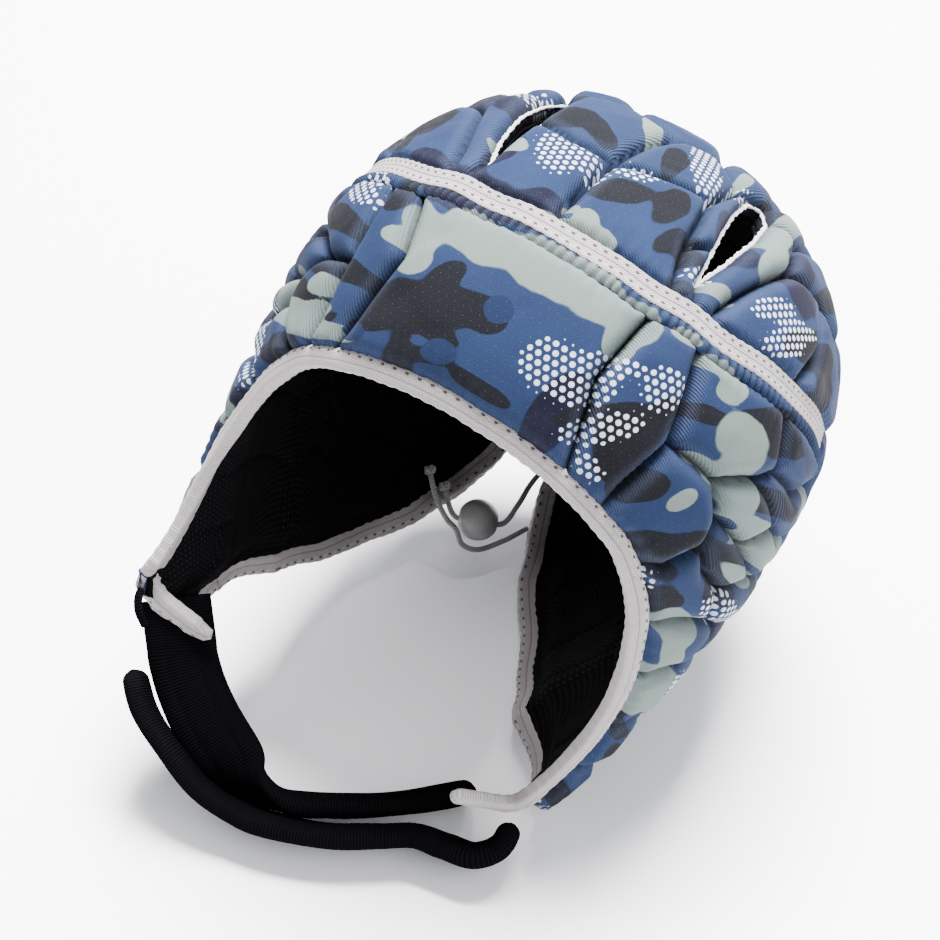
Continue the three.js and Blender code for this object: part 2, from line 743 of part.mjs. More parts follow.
const group = new THREE.Group();
function addNode(name, geometry, color) {
  const material = new THREE.MeshStandardMaterial({ color, roughness: 0.9 });
  material.name = `${name}_material`;
  const mesh = new THREE.Mesh(geometry, material);
  mesh.name = name;
  group.add(mesh);
  return mesh;
}

const bothSides = (lists, table) => [...readPads(lists, table, 1), ...readPads(lists, table, -1)];
const ventSides = new Set();
[1, -1].forEach((side) => {
  const loop = readPads([VENT], CROWN_CORNERS, side)[0];
  loop.forEach((point, i) => {
    ventSides.add([point.key, loop[(i + 1) % loop.length].key].sort().join('|'));
  });
});
const open = ({ from, to }) => ventSides.has([from.key, to.key].sort().join('|'));

function perforated(geometry, side) {
  let solid = solidOf(geometry);
  EAR_HOLES.forEach(({ azimuth, level }) => {
    const at = chartPoint(side * azimuth, level);
    const reach = 2 * (PANEL_UNDER + LINING);
    const pin = wasm.Manifold.cylinder(reach, PERFORATION / 2, PERFORATION / 2, 6, true);
    solid = solid.subtract(pin.transform(placed(layered(at, PANEL_UNDER / 2), outward(at))));
  });
  return geometryOf(solid);
}

const SHEETS = {
  forehead: { pads: readPads(FOREHEAD_PADS, SIDE_CORNERS, 1) },
  side_left: { pads: readPads(SIDE_PADS, SIDE_CORNERS, 1) },
  side_right: { pads: readPads(SIDE_PADS, SIDE_CORNERS, -1) },
  crown: {
    pads: [...readPads(CROWN_PADS, CROWN_CORNERS, 1), ...bothSides(CROWN_SIDE_PADS, CROWN_CORNERS)],
    covered: bothSides([VENT], CROWN_CORNERS),
  },
  back_left: { pads: readPads(BACK_PADS, SIDE_CORNERS, 1), ear: 1 },
  back_right: { pads: readPads(BACK_PADS, SIDE_CORNERS, -1), ear: -1 },
};
Object.entries(SHEETS).forEach(([name, { pads, covered = [], ear }]) => {
  const finish = (geometry) => (ear ? perforated(geometry, ear) : geometry);
  addNode(`panel_${name}`, finish(padSheet(pads, { ...PANEL, open })), 0x3e588c);
  addNode(`lining_${name}`, finish(padSheet([...pads, ...covered], INNER)), 0x141416);
});

const EDGE_MIDDLE = EDGE_DEPTH + (WEB + CLEARANCE + LINING) / 2;
const binding = (name, from, to, steps) => sweptStrip(
  edgeFrames(name, from, to, steps, EDGE_MIDDLE), BINDING_WIDTH, BINDING_THICKNESS);
addNode('face_binding', binding('face', -12.8, 13, 50), 0xcdc6c4);
addNode('neck_binding', binding('neck', -12.1, 11.7, 52), 0xcdc6c4);
addNode('crown_tape',
  sweptStrip(edgeFrames('crown', -8, 8, 32, EDGE_DEPTH), BINDING_WIDTH, SEAM_TAPE_THICKNESS), 0xcdc6c4);

const bore = wasm.Manifold.cylinder(2 * TOGGLE, TOGGLE_BORE / 2, TOGGLE_BORE / 2, 10, true)
  .transform(placed(new THREE.Vector3().copy(TOGGLE_AT), new THREE.Vector3().copy(TOGGLE_AXIS)));
addNode('toggle', geometryOf(ball(TOGGLE_AT, TOGGLE, 20).subtract(bore)), 0x8a8784);
addNode('lace_lower', cord(LOWER_LACE), 0x7d7a74);
addNode('lace_upper', cord(UPPER_LACE), 0x7d7a74);

// Lean the cap into its resting pose and set it down, then add the strap that lies on the table
const lean = new THREE.Matrix4().makeRotationX(-LEAN_BACK * RAD)
  .multiply(new THREE.Matrix4().makeRotationY(LEAN_SIDE * RAD));
group.children.forEach((mesh) => mesh.geometry.applyMatrix4(lean));
const capBox = new THREE.Box3().setFromObject(group);
group.children.forEach((mesh) => mesh.geometry.translate(0, 0, -capBox.min.z));
addNode('chin_strap_inner', strap(INNER_STRAP), 0x1c1b1d);
addNode('chin_strap_outer', strap(OUTER_STRAP), 0x1c1b1d);

const box = new THREE.Box3().setFromObject(group);
const middle = box.getCenter(new THREE.Vector3());
group.children.forEach((mesh) => mesh.geometry.translate(-middle.x, -middle.y, -box.min.z));

export default group;
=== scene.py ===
import math

import bpy
import numpy as np
from mathutils import Matrix, Vector
from mathutils.kdtree import KDTree


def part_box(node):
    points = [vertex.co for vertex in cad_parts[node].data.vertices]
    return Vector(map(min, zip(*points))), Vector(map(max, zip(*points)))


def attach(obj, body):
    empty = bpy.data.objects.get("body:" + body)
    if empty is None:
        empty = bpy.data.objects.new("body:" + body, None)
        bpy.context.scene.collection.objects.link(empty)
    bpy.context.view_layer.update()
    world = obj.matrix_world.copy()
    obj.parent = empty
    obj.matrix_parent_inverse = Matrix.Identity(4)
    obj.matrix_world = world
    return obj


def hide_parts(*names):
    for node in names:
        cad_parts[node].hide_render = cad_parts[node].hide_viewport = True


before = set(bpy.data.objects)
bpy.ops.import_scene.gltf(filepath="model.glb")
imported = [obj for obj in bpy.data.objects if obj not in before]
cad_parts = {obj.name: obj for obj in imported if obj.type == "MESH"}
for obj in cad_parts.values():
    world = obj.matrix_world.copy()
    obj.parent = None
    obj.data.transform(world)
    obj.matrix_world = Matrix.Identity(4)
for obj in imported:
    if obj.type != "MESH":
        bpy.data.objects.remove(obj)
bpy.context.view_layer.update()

bl_info = {
    "name": "Padded scrum cap",
    "version": (1, 0, 0),
    "blender": (4, 2, 0),
    "location": "3D View > Sidebar > Scrum cap",
    "description": "Builds the fabric, bindings, straps and laces of a padded scrum cap",
    "category": "Add Mesh",
}

# ---------------------------------------------------------------- chart

# Size of the padded outside, in mm, with the cap upright and its front toward -Y
WIDTH_RIGHT_HALF = 93.0
WIDTH_LEFT_HALF = 105.0
CAP_DEPTH = 222.0
CROWN_HEIGHT = 110.0
ROUNDNESS = 2.3
WALL_UNIT = 150.0
CURL_REACH = 110.0

# azimuth from the front, inward curl on the wearer's left and right, power
CURL = np.array([
    (0, 0.17, 0.22, 2.5),
    (42, 0.17, 0.2, 2.5),
    (53, 0.14, -0.05, 2.5),
    (64, 0.16, 0.16, 2.4),
    (76, 0.3, 0.26, 2.1),
    (90, 0.49, 0.4, 1.8),
    (130, 0.59, 0.57, 2),
    (180, 0.72, 0.72, 2.5),
])

# level, turn-in on the left and right, drop on the left and right
HEM = np.array([
    (1.7, 0, 0, 0, 0),
    (1.76, 0.01, 0.02, 6, 8),
    (1.82, 0.035, 0.05, 9, 13),
    (1.88, 0.09, 0.11, 9, 16),
    (1.95, 0.17, 0.2, 7, 17),
])

# Fuller pads at the nape: azimuth, level, half width in degrees, half height in levels, mm
NAPE = (157.0, 1.46, 17.0, 0.12, 9.0)

# Depths below the tops of the pads, and thicknesses, in mm
GROOVE_DEPTH = 7.5
EDGE_DEPTH = 3.5
WEB = 2.5
CLEARANCE = 0.3
LINING = 1.2
# Depths of the wall's inner side under a groove and at an edge
PANEL_UNDER = GROOVE_DEPTH + WEB
EDGE_UNDER = EDGE_DEPTH + WEB
# Depth of the middle of the wall and lining at an edge
EDGE_MIDDLE = EDGE_DEPTH + (WEB + CLEARANCE + LINING) / 2

# Edges as rows of azimuth and level, and the row number that each bound edge reaches
EDGE_ENDS = {"face": 13.0, "neck": 14.0, "crown": 8.0}
EDGES = {
    "face": [
        (0, 0.863), (10, 0.87), (21, 0.9), (34, 0.966), (39, 1.02), (44, 1.093), (48, 1.18),
        (51.5, 1.28), (54, 1.39), (55, 1.49), (55, 1.58), (54, 1.67), (50, 1.76), (41, 1.81),
    ],
    "neck": [
        (180, 1.25), (175.8, 1.27), (173, 1.33), (171.5, 1.41), (168, 1.49), (160, 1.56),
        (150, 1.61), (135, 1.65), (115, 1.69), (90, 1.7), (78, 1.72), (67, 1.79), (58, 1.87),
        (49, 1.9), (41, 1.81),
    ],
    "crown": [
        (0, 0.49), (12, 0.495), (21, 0.512), (31, 0.524), (40, 0.552), (54, 0.583),
        (69, 0.635), (80, 0.68), (90, 0.735),
    ],
    "rear": [(180, 0.77), (160, 0.77), (135, 0.77), (110, 0.76), (90, 0.735)],
}

# Pad corners as azimuth and level, with the mirrored side's own values where it differs
SIDE_CORNERS = {
    "b1": (17, 0.7, 27, 0.7), "b2": (34, 0.76, 38, 0.77), "b4": (46, 0.8), "b3": (57, 0.785),
    "c3": (63, 0.77), "d4": (76, 0.83), "d5": (94, 0.85), "e4": (73, 0.9), "e5": (84, 0.96),
    "n5": (94, 0.965), "g1": (43, 0.985), "g2": (50, 0.93), "g4": (54, 0.985),
    "g3": (50, 0.87), "h3": (61, 0.925), "h4": (75, 1.035), "h5": (94, 1.08),
    "i3": (62, 1.035), "j3": (64, 1.13), "k4": (74, 1.17), "k5": (94, 1.19), "l3": (68, 1.27),
    "l5": (94, 1.33), "m3": (71, 1.43), "m5": (94, 1.5), "n3": (70, 1.58), "s1": (112, 0.955),
    "s2": (135, 0.95), "s3": (158, 0.95), "s4": (180, 0.95), "t1": (122, 1.12),
    "t2": (146, 1.12), "t3": (167, 1.1), "t4": (180, 1.11), "u1": (110, 1.3), "u2": (134, 1.3),
    "u3": (156, 1.29), "v1": (118, 1.48), "v2": (143, 1.46),
}

# Pad corners over the crown, as shares of the level measured across and toward the back
CROWN_CORNERS = {
    "k1": (-0.04, -0.34), "k2": (-0.03, -0.26), "kn": (-0.12, -0.25), "kp": (0.18, -0.34),
    "kb": (0.16, -0.17), "kc": (0.185, -0.02), "kd": (0.12, 0.07), "ke": (0.02, 0.03),
    "kf": (-0.01, -0.12), "kr": (-0.09, 0.08), "v0": (0.244, -0.385), "v1": (0.228, -0.28),
    "vm": (0.217, -0.2), "v2": (0.21, -0.1), "v3": (0.212, 0.04), "v4": (0.24, 0.1),
    "v5": (0.272, 0.03), "v6": (0.278, -0.12), "v7": (0.264, -0.28), "a1": (0.34, 0.07),
    "a2": (0.37, -0.09), "a3": (0.33, -0.28), "b1": (0.46, 0.05), "b2": (0.54, -0.12),
    "c1": (0.58, 0.12), "d1": (0.5, 0.28), "d2": (0.37, 0.25), "ta": (0.26, 0.24),
    "tc": (0.1, 0.27), "tb": (0.36, 0.44), "td": (0.13, 0.51),
}

# Pads as their corners in order: an edge name with a row number (the mirrored row after |),
# a corner name, or ~ and a name for the mirrored corner
FOREHEAD_PADS = ["crown -3.9, crown 2.35, b1, face 1.85, face -2.45, ~b1"]
SIDE_PADS = [
    "crown 2.35|3.9, crown 3.45|4.55, b2, face 2.4|2.95, face 1.85|2.45, b1",
    "crown 3.45|4.55, crown 5.4, c3, b3, b4, b2",
    "crown 5.4, crown 8, d5, d4, c3",
    "b2, b4, g3, g2, g1, face 3.4, face 2.4|2.95",
    "b4, b3, e4, h3, g3",
    "e4, e5, n5, h5, h4, h3",
    "c3, d4, d5, n5, e5, e4, b3",
    "g3, h3, h4, i3, g4, g2",
    "face 3.4, g1, g2, g4, i3, j3, face 5.4",
    "i3, h4, h5, k5, k4, j3",
    "face 5.4, j3, k4, l3, face 6.9",
    "k4, k5, l5, l3",
    "face 6.9, l3, m3, face 8.4",
    "l3, l5, m5, m3",
    "face 8.4, m3, n3, face 10",
    "m3, m5, neck 8.84, neck 10.6, n3",
    "face 10, n3, neck 10.6, neck 11.4|12, face 11.3|11.7",
]
BACK_PADS = [
    "rear 4, rear 2.9, s1, n5, d5",
    "rear 2.9, rear 2, s2, s1",
    "rear 2, rear 1.1, s3, s2",
    "rear 1.1, rear 0, s4, s3",
    "n5, s1, t1, h5",
    "s1, s2, t2, t1",
    "s2, s3, t3, t2",
    "s3, s4, t4, t3",
    "h5, t1, u1, l5, k5",
    "t1, t2, u2, u1",
    "t2, t3, u3, u2",
    "t3, t4, neck 0, neck 2, u3",
    "l5, u1, v1, m5",
    "u1, u2, v2, v1",
    "u2, u3, neck 2, neck 4, v2",
    "m5, v1, neck 8, neck 8.84",
    "v1, v2, neck 6.6, neck 8",
    "v2, neck 4, neck 6.6",
]
CROWN_PADS = [
    "crown -2.95, crown -0.5, k1, k2, kn, ~vm, ~v1, ~v0",
    "crown -0.5, crown 2.4, kp, kb, k2, k1",
    "crown 2.4, crown 2.95, v0, v1, kp",
    "kp, v1, vm, v2, v3, kc, kb",
    "k2, kb, kc, kd, ke, kf",
    "kn, k2, kf, ke, kr, ~v3, ~v2, ~vm",
    "~v3, kr, ~tc, ~ta, ~v4",
    "kr, ke, kd, tc, ~tc",
    "kd, kc, v3, v4, ta, tc",
    "~ta, ~tc, ~td, ~tb",
    "~tc, tc, td, ~td",
    "tc, ta, tb, td",
    "~tb, ~td, rear -0.8, rear -2",
    "~td, td, rear 0.8, rear -0.8",
    "td, tb, rear 2, rear 0.8",
]
CROWN_SIDE_PADS = [
    "crown 2.95, crown 3.35, a3, a2, a1, v5, v6, v7, v0",
    "crown 3.35, crown 5.5, b2, b1, a2, a3",
    "crown 5.5, crown 8, rear 3.4, c1, b1, b2",
    "a1, a2, b1, c1, d1, d2",
    "v5, a1, d2, ta, v4",
    "c1, rear 3.4, rear 2.6, d1",
    "d2, d1, rear 2.6, rear 2, tb, ta",
]
VENT = "v0, v7, v6, v5, v4, v3, v2, vm, v1"


def chart_point(azimuth, level):
    """Chart point of an azimuth in degrees from the front and a level."""
    turn = np.radians(azimuth)
    return np.stack([level * np.sin(turn), -level * np.cos(turn)], -1)


def outside(at):
    """The line through the tops of the pads, in mm, at chart points."""
    at = np.asarray(at, float)
    level = np.hypot(at[..., 0], at[..., 1])
    turn = np.where(level < 1e-9, 0.0, np.arctan2(at[..., 0], -at[..., 1]))
    rise = np.where(level < 1, (1 - level) * np.pi / 2, 0.0)
    point = np.stack([np.sin(turn) * np.cos(rise), -np.cos(turn) * np.cos(rise), np.sin(rise)], -1)
    half = np.where(point[..., 0] > 0, WIDTH_LEFT_HALF, WIDTH_RIGHT_HALF)
    total = (np.abs(point[..., 0] / half) ** ROUNDNESS
             + np.abs(point[..., 1] / (CAP_DEPTH / 2)) ** ROUNDNESS
             + np.abs(point[..., 2] / CROWN_HEIGHT) ** ROUNDNESS)
    point = point * (total ** (-1 / ROUNDNESS))[..., None]
    wall = WALL_UNIT * (np.clip(level, 1, HEM[0, 0]) - 1)
    left = at[..., 0] > 0
    azimuth = np.degrees(np.abs(turn))
    curl = np.where(left, np.interp(azimuth, CURL[:, 0], CURL[:, 1]),
                    np.interp(azimuth, CURL[:, 0], CURL[:, 2]))
    power = np.interp(azimuth, CURL[:, 0], CURL[:, 3])
    turned = np.where(left, np.interp(level, HEM[:, 0], HEM[:, 1]),
                      np.interp(level, HEM[:, 0], HEM[:, 2]))
    drop = np.where(left, np.interp(level, HEM[:, 0], HEM[:, 3]),
                    np.interp(level, HEM[:, 0], HEM[:, 4]))
    scale = 1 - curl * (wall / CURL_REACH) ** power - turned
    below = level > 1
    point[..., 0] = np.where(below, point[..., 0] * scale, point[..., 0])
    point[..., 1] = np.where(below, point[..., 1] * scale, point[..., 1])
    point[..., 2] = np.where(below, -wall - drop, point[..., 2])
    across = np.clip(1 - ((azimuth - NAPE[0]) / NAPE[2]) ** 2, 0, 1)
    upright = np.clip(1 - ((level - NAPE[1]) / NAPE[3]) ** 2, 0, 1)
    full = (NAPE[4] * (across * upright) ** 2)[..., None]
    way = np.stack([0.6 * np.sin(turn), -0.6 * np.cos(turn), np.full_like(turn, -0.8)], -1)
    return point + full * way


def outward(at):
    """Outward direction of the cap at chart points."""
    at = np.asarray(at, float)
    step = 0.004
    across = outside(at + [step, 0]) - outside(at - [step, 0])
    along = outside(at + [0, step]) - outside(at - [0, step])
    normal = np.cross(across, along)
    return normal / np.linalg.norm(normal, axis=-1, keepdims=True)


def edge_point(name, place):
    """Point of an edge at a row number, negative on the wearer's right."""
    rows = EDGES[name]
    size = abs(place)
    first = min(len(rows) - 2, int(size))
    turn = -1.0 if place < 0 else 1.0
    four = []
    for k in (first - 1, first, first + 1, first + 2):
        azimuth, level = rows[-k] if k < 0 else rows[min(len(rows) - 1, k)]
        if k < 0:
            azimuth = 360 - azimuth if rows[0][0] == 180 else -azimuth
        four.append((azimuth, level))
    p, q, r, t = np.array(four, float)
    s = size - first
    at = q + 0.5 * s * (r - p + s * (2 * p - 5 * q + 4 * r - t + s * (3 * (q - r) + t - p)))
    return chart_point(turn * at[0], at[1])


def read_corners(text, table, side):
    """Corners of one pad as (edge name, place, chart point)."""
    corners = []
    for word in text.split(","):
        parts = word.split()
        if len(parts) == 2:
            places = [float(x) for x in parts[1].split("|")]
            place = side * (places[-1] if side < 0 else places[0])
            corners.append((parts[0], place, edge_point(parts[0], place)))
            continue
        flipped = parts[0].startswith("~")
        turn = -side if flipped else side
        row = table[parts[0].lstrip("~")]
        if table is CROWN_CORNERS:
            at = np.array([turn * row[0], row[1]], float)
        elif turn < 0 and len(row) > 2:
            at = chart_point(-row[2], row[3])
        else:
            at = chart_point(turn * row[0], row[1])
        corners.append(("", 0.0, at))
    return corners


def pad_outline(text, table, side, step=0.8):
    """A pad's outline as chart points about step mm apart, with the edge that each lies on."""
    corners = read_corners(text, table, side)
    points, edges = [], []
    for k, (name, place, at) in enumerate(corners):
        name_2, place_2, at_2 = corners[(k + 1) % len(corners)]
        on_edge = name != "" and name == name_2
        length = np.linalg.norm(outside(at) - outside(at_2))
        count = max(2, int(np.ceil(length * (1.1 if on_edge else 1.0) / step)))
        for share in np.arange(count) / count:
            if on_edge:
                points.append(edge_point(name, place + share * (place_2 - place)))
            else:
                points.append(at + share * (at_2 - at))
            edges.append(name if on_edge else "")
    return np.array(points), np.array(edges)


# ---------------------------------------------------------------- print

# Patches: colour, azimuth, level, half length and half width in mm, turn in degrees
PATCHES = [
    ("sage", -28.0, 0.63, 11.2, 6.4, -15),
    ("sage", -23.5, 0.69, 7.3, 5.1, 22),
    ("sage", -16.0, 0.585, 14.5, 8.0, 1),
    ("sage", -2.5, 0.565, 12.8, 10.0, -11),
    ("sage", 9.5, 0.565, 11.9, 10.0, -18),
    ("sage", 20.0, 0.58, 8.1, 7.4, -7),
    ("sage", 18.0, 0.635, 5.6, 5.1, 4),
    ("sage", -4.0, 0.485, 14.3, 3.7, 3),
    ("sage", -30.5, 0.675, 6.8, 3.1, 20),
    ("charcoal", -16.0, 0.68, 6.9, 4.5, 58),
    ("charcoal", -19.0, 0.76, 15.1, 7.6, 18),
    ("charcoal", -11.0, 0.715, 13.6, 6.9, 22),
    ("charcoal", -4.5, 0.695, 5.1, 5.0, -24),
    ("charcoal", -22.5, 0.81, 8.0, 4.7, 44),
    ("charcoal", -10.5, 0.77, 8.2, 3.1, 4),
    ("charcoal", 0.0, 0.81, 11.9, 2.8, -1),
    ("charcoal", -10.0, 0.81, 8.2, 2.8, 22),
    ("blue", -4.0, 0.675, 4.7, 4.4, 20),
    ("blue", -9.0, 0.795, 6.5, 4.4, 31),
    ("blue", -25.5, 0.86, 6.4, 2.9, 24),
    ("plum", -25.5, 0.53, 19.3, 9.8, 14),
    ("plum", -10.0, 0.48, 8.9, 7.9, -34),
    ("plum", -32.5, 0.42, 9.7, 5.9, -69),
    ("plum", -42.0, 0.53, 12.4, 5.0, 19),
    ("charcoal", -49.0, 0.245, 13.9, 9.1, 52),
    ("charcoal", -26.5, 0.21, 11.8, 4.7, -21),
    ("sage", -34.5, 0.395, 7.9, 4.6, 16),
    ("dots", -21.0, 0.34, 12.5, 8.3, -46),
    ("dots", -9.0, 0.32, 6.9, 4.8, -54),
    ("dots", 4.5, 0.26, 8.9, 6.5, 36),
    ("plum", -71.5, 0.32, 16.3, 8.8, 29),
    ("sage", -51.0, 0.035, 14.1, 4.3, -12),
    ("charcoal", 3.5, 0.345, 11.8, 5.9, 42),
    ("charcoal", 20.5, 0.32, 11.4, 5.3, 68),
    ("charcoal", 24.5, 0.395, 11.8, 4.1, 45),
    ("sage", 0.0, 0.45, 5.5, 4.4, -77),
    ("sage", 5.0, 0.465, 6.9, 3.5, 5),
    ("sage", -5.0, 0.435, 2.7, 2.3, 68),
    ("charcoal", 21.5, 0.15, 12.5, 4.5, 76),
    ("dots", 66.0, 0.105, 16.8, 5.9, 26),
    ("dots", 46.5, 0.185, 11.9, 5.7, 50),
    ("dots", 84.5, 0.195, 11.4, 3.5, -9),
    ("sage", 110.0, 0.185, 13.9, 2.4, -13),
    ("dots", 31.5, 0.445, 6.1, 3.3, 21),
    ("charcoal", 28.5, 0.415, 6.3, 3.7, 12),
    ("charcoal", 26.5, 0.485, 4.7, 3.0, 5),
    ("sage", 37.5, 0.465, 8.1, 3.1, -2),
    ("sage", 82.0, 0.305, 21.7, 4.7, -2),
    ("sage", 113.5, 0.325, 24.0, 4.4, -17),
    ("sage", 64.5, 0.365, 12.5, 4.7, 12),
    ("dots", 56.5, 0.465, 13.2, 4.1, 5),
    ("dots", 58.0, 0.53, 13.1, 4.7, -1),
    ("dots", 65.5, 0.5, 13.0, 3.6, -12),
    ("charcoal", 107.5, 0.49, 24.0, 4.9, -17),
    ("charcoal", 73.0, 0.535, 23.3, 6.0, -11),
    ("blue", 94.5, 0.53, 24.0, 1.8, -14),
    ("charcoal", -78.0, 0.5, 24.0, 10.5, 18),
    ("charcoal", -72.5, 0.565, 24.0, 4.4, 17),
    ("dots", -51.5, 0.665, 16.2, 4.9, 13),
    ("dots", -53.0, 0.62, 10.6, 3.1, 11),
    ("charcoal", -52.0, 0.735, 24.0, 4.7, 17),
    ("charcoal", -39.5, 0.8, 13.5, 4.8, 24),
    ("charcoal", -33.5, 0.78, 13.4, 3.2, 15),
    ("sage", -39.0, 0.84, 7.7, 3.9, 29),
    ("sage", -36.0, 0.875, 8.1, 2.7, 27),
    ("sage", -42.0, 0.93, 17.7, 5.7, 16),
    ("sage", -30.0, 0.89, 12.7, 2.9, 26),
    ("charcoal", -45.0, 0.89, 20.5, 4.6, 17),
    ("charcoal", -33.0, 0.885, 7.5, 2.2, 43),
    ("sage", -27.0, 0.875, 6.2, 1.9, 25),
    ("charcoal", -41.5, 0.98, 9.9, 3.3, 24),
    ("charcoal", -43.0, 1.03, 10.6, 3.4, 18),
    ("plum", -51.5, 1.195, 24.0, 2.7, 20),
    ("charcoal", -42.0, 1.0, 8.7, 3.3, 22),
    ("plum", -57.0, 1.295, 24.0, 3.5, 22),
    ("charcoal", -26.0, 0.85, 4.2, 2.6, 26),
    ("dots", 10.5, 0.72, 13.0, 8.7, 3),
    ("dots", 16.0, 0.71, 9.3, 8.1, -12),
    ("dots", 21.0, 0.78, 13.1, 5.0, 34),
    ("dots", 22.0, 0.85, 6.4, 4.4, -17),
    ("dots", 20.5, 0.665, 7.6, 3.1, 20),
    ("dots", 29.0, 0.675, 8.8, 7.5, 20),
    ("dots", 17.0, 0.675, 7.5, 3.7, 27),
    ("charcoal", 19.0, 0.76, 13.7, 3.1, 33),
    ("charcoal", 26.0, 0.775, 11.9, 9.7, 53),
    ("charcoal", 30.5, 0.715, 8.5, 5.2, 45),
    ("charcoal", 25.0, 0.83, 5.7, 4.5, 18),
    ("charcoal", 38.0, 0.69, 9.1, 3.1, 2),
    ("sage", 31.0, 0.57, 6.1, 3.0, 0),
    ("sage", 38.5, 0.6, 8.1, 3.0, -9),
    ("sage", 43.5, 0.635, 6.8, 4.1, 11),
    ("sage", 48.0, 0.715, 13.1, 8.1, -17),
    ("sage", 48.0, 0.77, 10.8, 5.0, 17),
    ("sage", 40.0, 0.77, 5.5, 2.2, -4),
    ("sage", 52.5, 0.81, 12.0, 7.1, -13),
    ("sage", 60.5, 0.89, 22.3, 5.5, -11),
    ("sage", 75.5, 0.97, 24.0, 4.8, -18),
    ("charcoal", 52.5, 0.67, 17.4, 3.9, 7),
    ("charcoal", 62.0, 0.7, 24.0, 7.2, -7),
    ("charcoal", 62.0, 0.825, 20.9, 3.8, -7),
    ("charcoal", 68.5, 0.84, 24.0, 4.0, -17),
    ("blue", 73.5, 0.805, 19.2, 2.0, -15),
    ("charcoal", 32.0, 0.845, 9.8, 4.7, 29),
    ("charcoal", 28.5, 0.86, 5.2, 4.5, 4),
    ("sage", 39.5, 0.845, 6.0, 3.4, 37),
    ("plum", 41.5, 0.93, 9.8, 4.0, 25),
    ("charcoal", 59.0, 0.955, 15.5, 4.6, -19),
    ("charcoal", 53.5, 0.93, 10.6, 5.4, -51),
    ("charcoal", 49.0, 0.92, 10.5, 4.5, -18),
    ("blue", 52.5, 0.885, 7.7, 4.0, -13),
    ("charcoal", 38.5, 0.94, 11.3, 4.8, 1),
    ("charcoal", 45.0, 1.05, 11.4, 3.6, -3),
    ("charcoal", 61.5, 1.03, 13.6, 6.2, -14),
    ("dots", 63.0, 1.07, 13.0, 5.5, -14),
    ("dots", 70.5, 1.12, 19.2, 5.2, -18),
    ("sage", 67.0, 1.0, 24.0, 3.3, -19),
    ("sage", 52.0, 1.11, 11.0, 5.2, -13),
    ("sage", 58.0, 1.14, 7.9, 6.1, 5),
    ("sage", 57.5, 1.21, 11.8, 4.5, -33),
    ("sage", 62.0, 1.29, 24.0, 4.8, -23),
    ("sage", 63.0, 1.355, 23.5, 3.4, -24),
    ("charcoal", 56.0, 1.42, 16.4, 3.2, -24),
    ("charcoal", 58.5, 1.67, 19.5, 4.7, -29),
    ("charcoal", 38.0, 0.99, 14.9, 2.9, 4),
    ("plum", 39.0, 0.965, 8.4, 2.8, 2),
    ("dots", 54.0, 1.76, 17.2, 6.9, -20),
]


# ---------------------------------------------------------------- placing and meshes

# Degrees that the cap leans, and the toggle's middle in the upright cap
LEAN_BACK = -26.2
LEAN_SIDE = 18.9
TOGGLE_AT = (-3.0, 67.0, -74.0)
# Blender's lengths are metres, and the tables here are mm
METRE = 1000.0


def lean_matrix():
    """Turn from the upright cap to the cap as it lies."""
    a, b = math.radians(LEAN_BACK), math.radians(LEAN_SIDE)
    back = np.array([[1, 0, 0], [0, math.cos(a), -math.sin(a)], [0, math.sin(a), math.cos(a)]])
    side = np.array([[math.cos(b), 0, math.sin(b)], [0, 1, 0], [-math.sin(b), 0, math.cos(b)]])
    return back @ side


LEAN = lean_matrix()


def box_middle(node):
    """Middle of a CAD node's box, in mm."""
    low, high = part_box(node)
    return (np.array(low) + np.array(high)) * 500.0


SHIFT = box_middle("toggle") - LEAN @ np.array(TOGGLE_AT)


def laid(points):
    """Points of the upright cap, in mm, as the cap lies."""
    return np.asarray(points, float) @ LEAN.T + SHIFT


def lay(thing):
    """Turns a piece made on the upright cap to the cap as it lies."""
    points = np.empty(len(thing.data.vertices) * 3)
    thing.data.vertices.foreach_get("co", points)
    thing.data.vertices.foreach_set("co", (laid(points.reshape(-1, 3) * 1000) * 0.001).ravel())
    thing.data.update()


def mm(length):
    """A setting's length in mm."""
    return round(length * METRE, 5)


def unit(vectors):
    """Vectors at length 1."""
    return vectors / np.maximum(np.linalg.norm(vectors, axis=-1, keepdims=True), 1e-12)


def smoothstep(low, high, value):
    """Smooth step from 0 at low to 1 at high."""
    share = np.clip((value - low) / (high - low), 0.0, 1.0)
    return share * share * (3.0 - 2.0 * share)


def new_mesh(name, points, faces, material, point_data=None, corner_data=None):
    """A smooth mesh object from points in mm, with its vector attributes."""
    mesh = bpy.data.meshes.new(name)
    mesh.from_pydata((np.asarray(points) * 0.001).tolist(), [], [list(f) for f in faces])
    mesh.polygons.foreach_set("use_smooth", np.ones(len(mesh.polygons), bool))
    for key, values in (point_data or {}).items():
        layer = mesh.attributes.new(key, "FLOAT_VECTOR", "POINT")
        layer.data.foreach_set("vector", np.asarray(values, np.float32).ravel())
    for key, values in (corner_data or {}).items():
        layer = mesh.attributes.new(key, "FLOAT_VECTOR", "CORNER")
        layer.data.foreach_set("vector", np.asarray(values, np.float32).ravel())
    mesh.materials.append(material)
    mesh.update()
    thing = bpy.data.objects.new(name, mesh)
    bpy.context.scene.collection.objects.link(thing)
    return thing


def keep(thing, slot, *nodes):
    """Ties a piece to the root body and hides the CAD nodes that it stands for; its material slot
    is not used.
    """
    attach(thing, "root")
    if nodes:
        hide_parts(*nodes)
    return thing


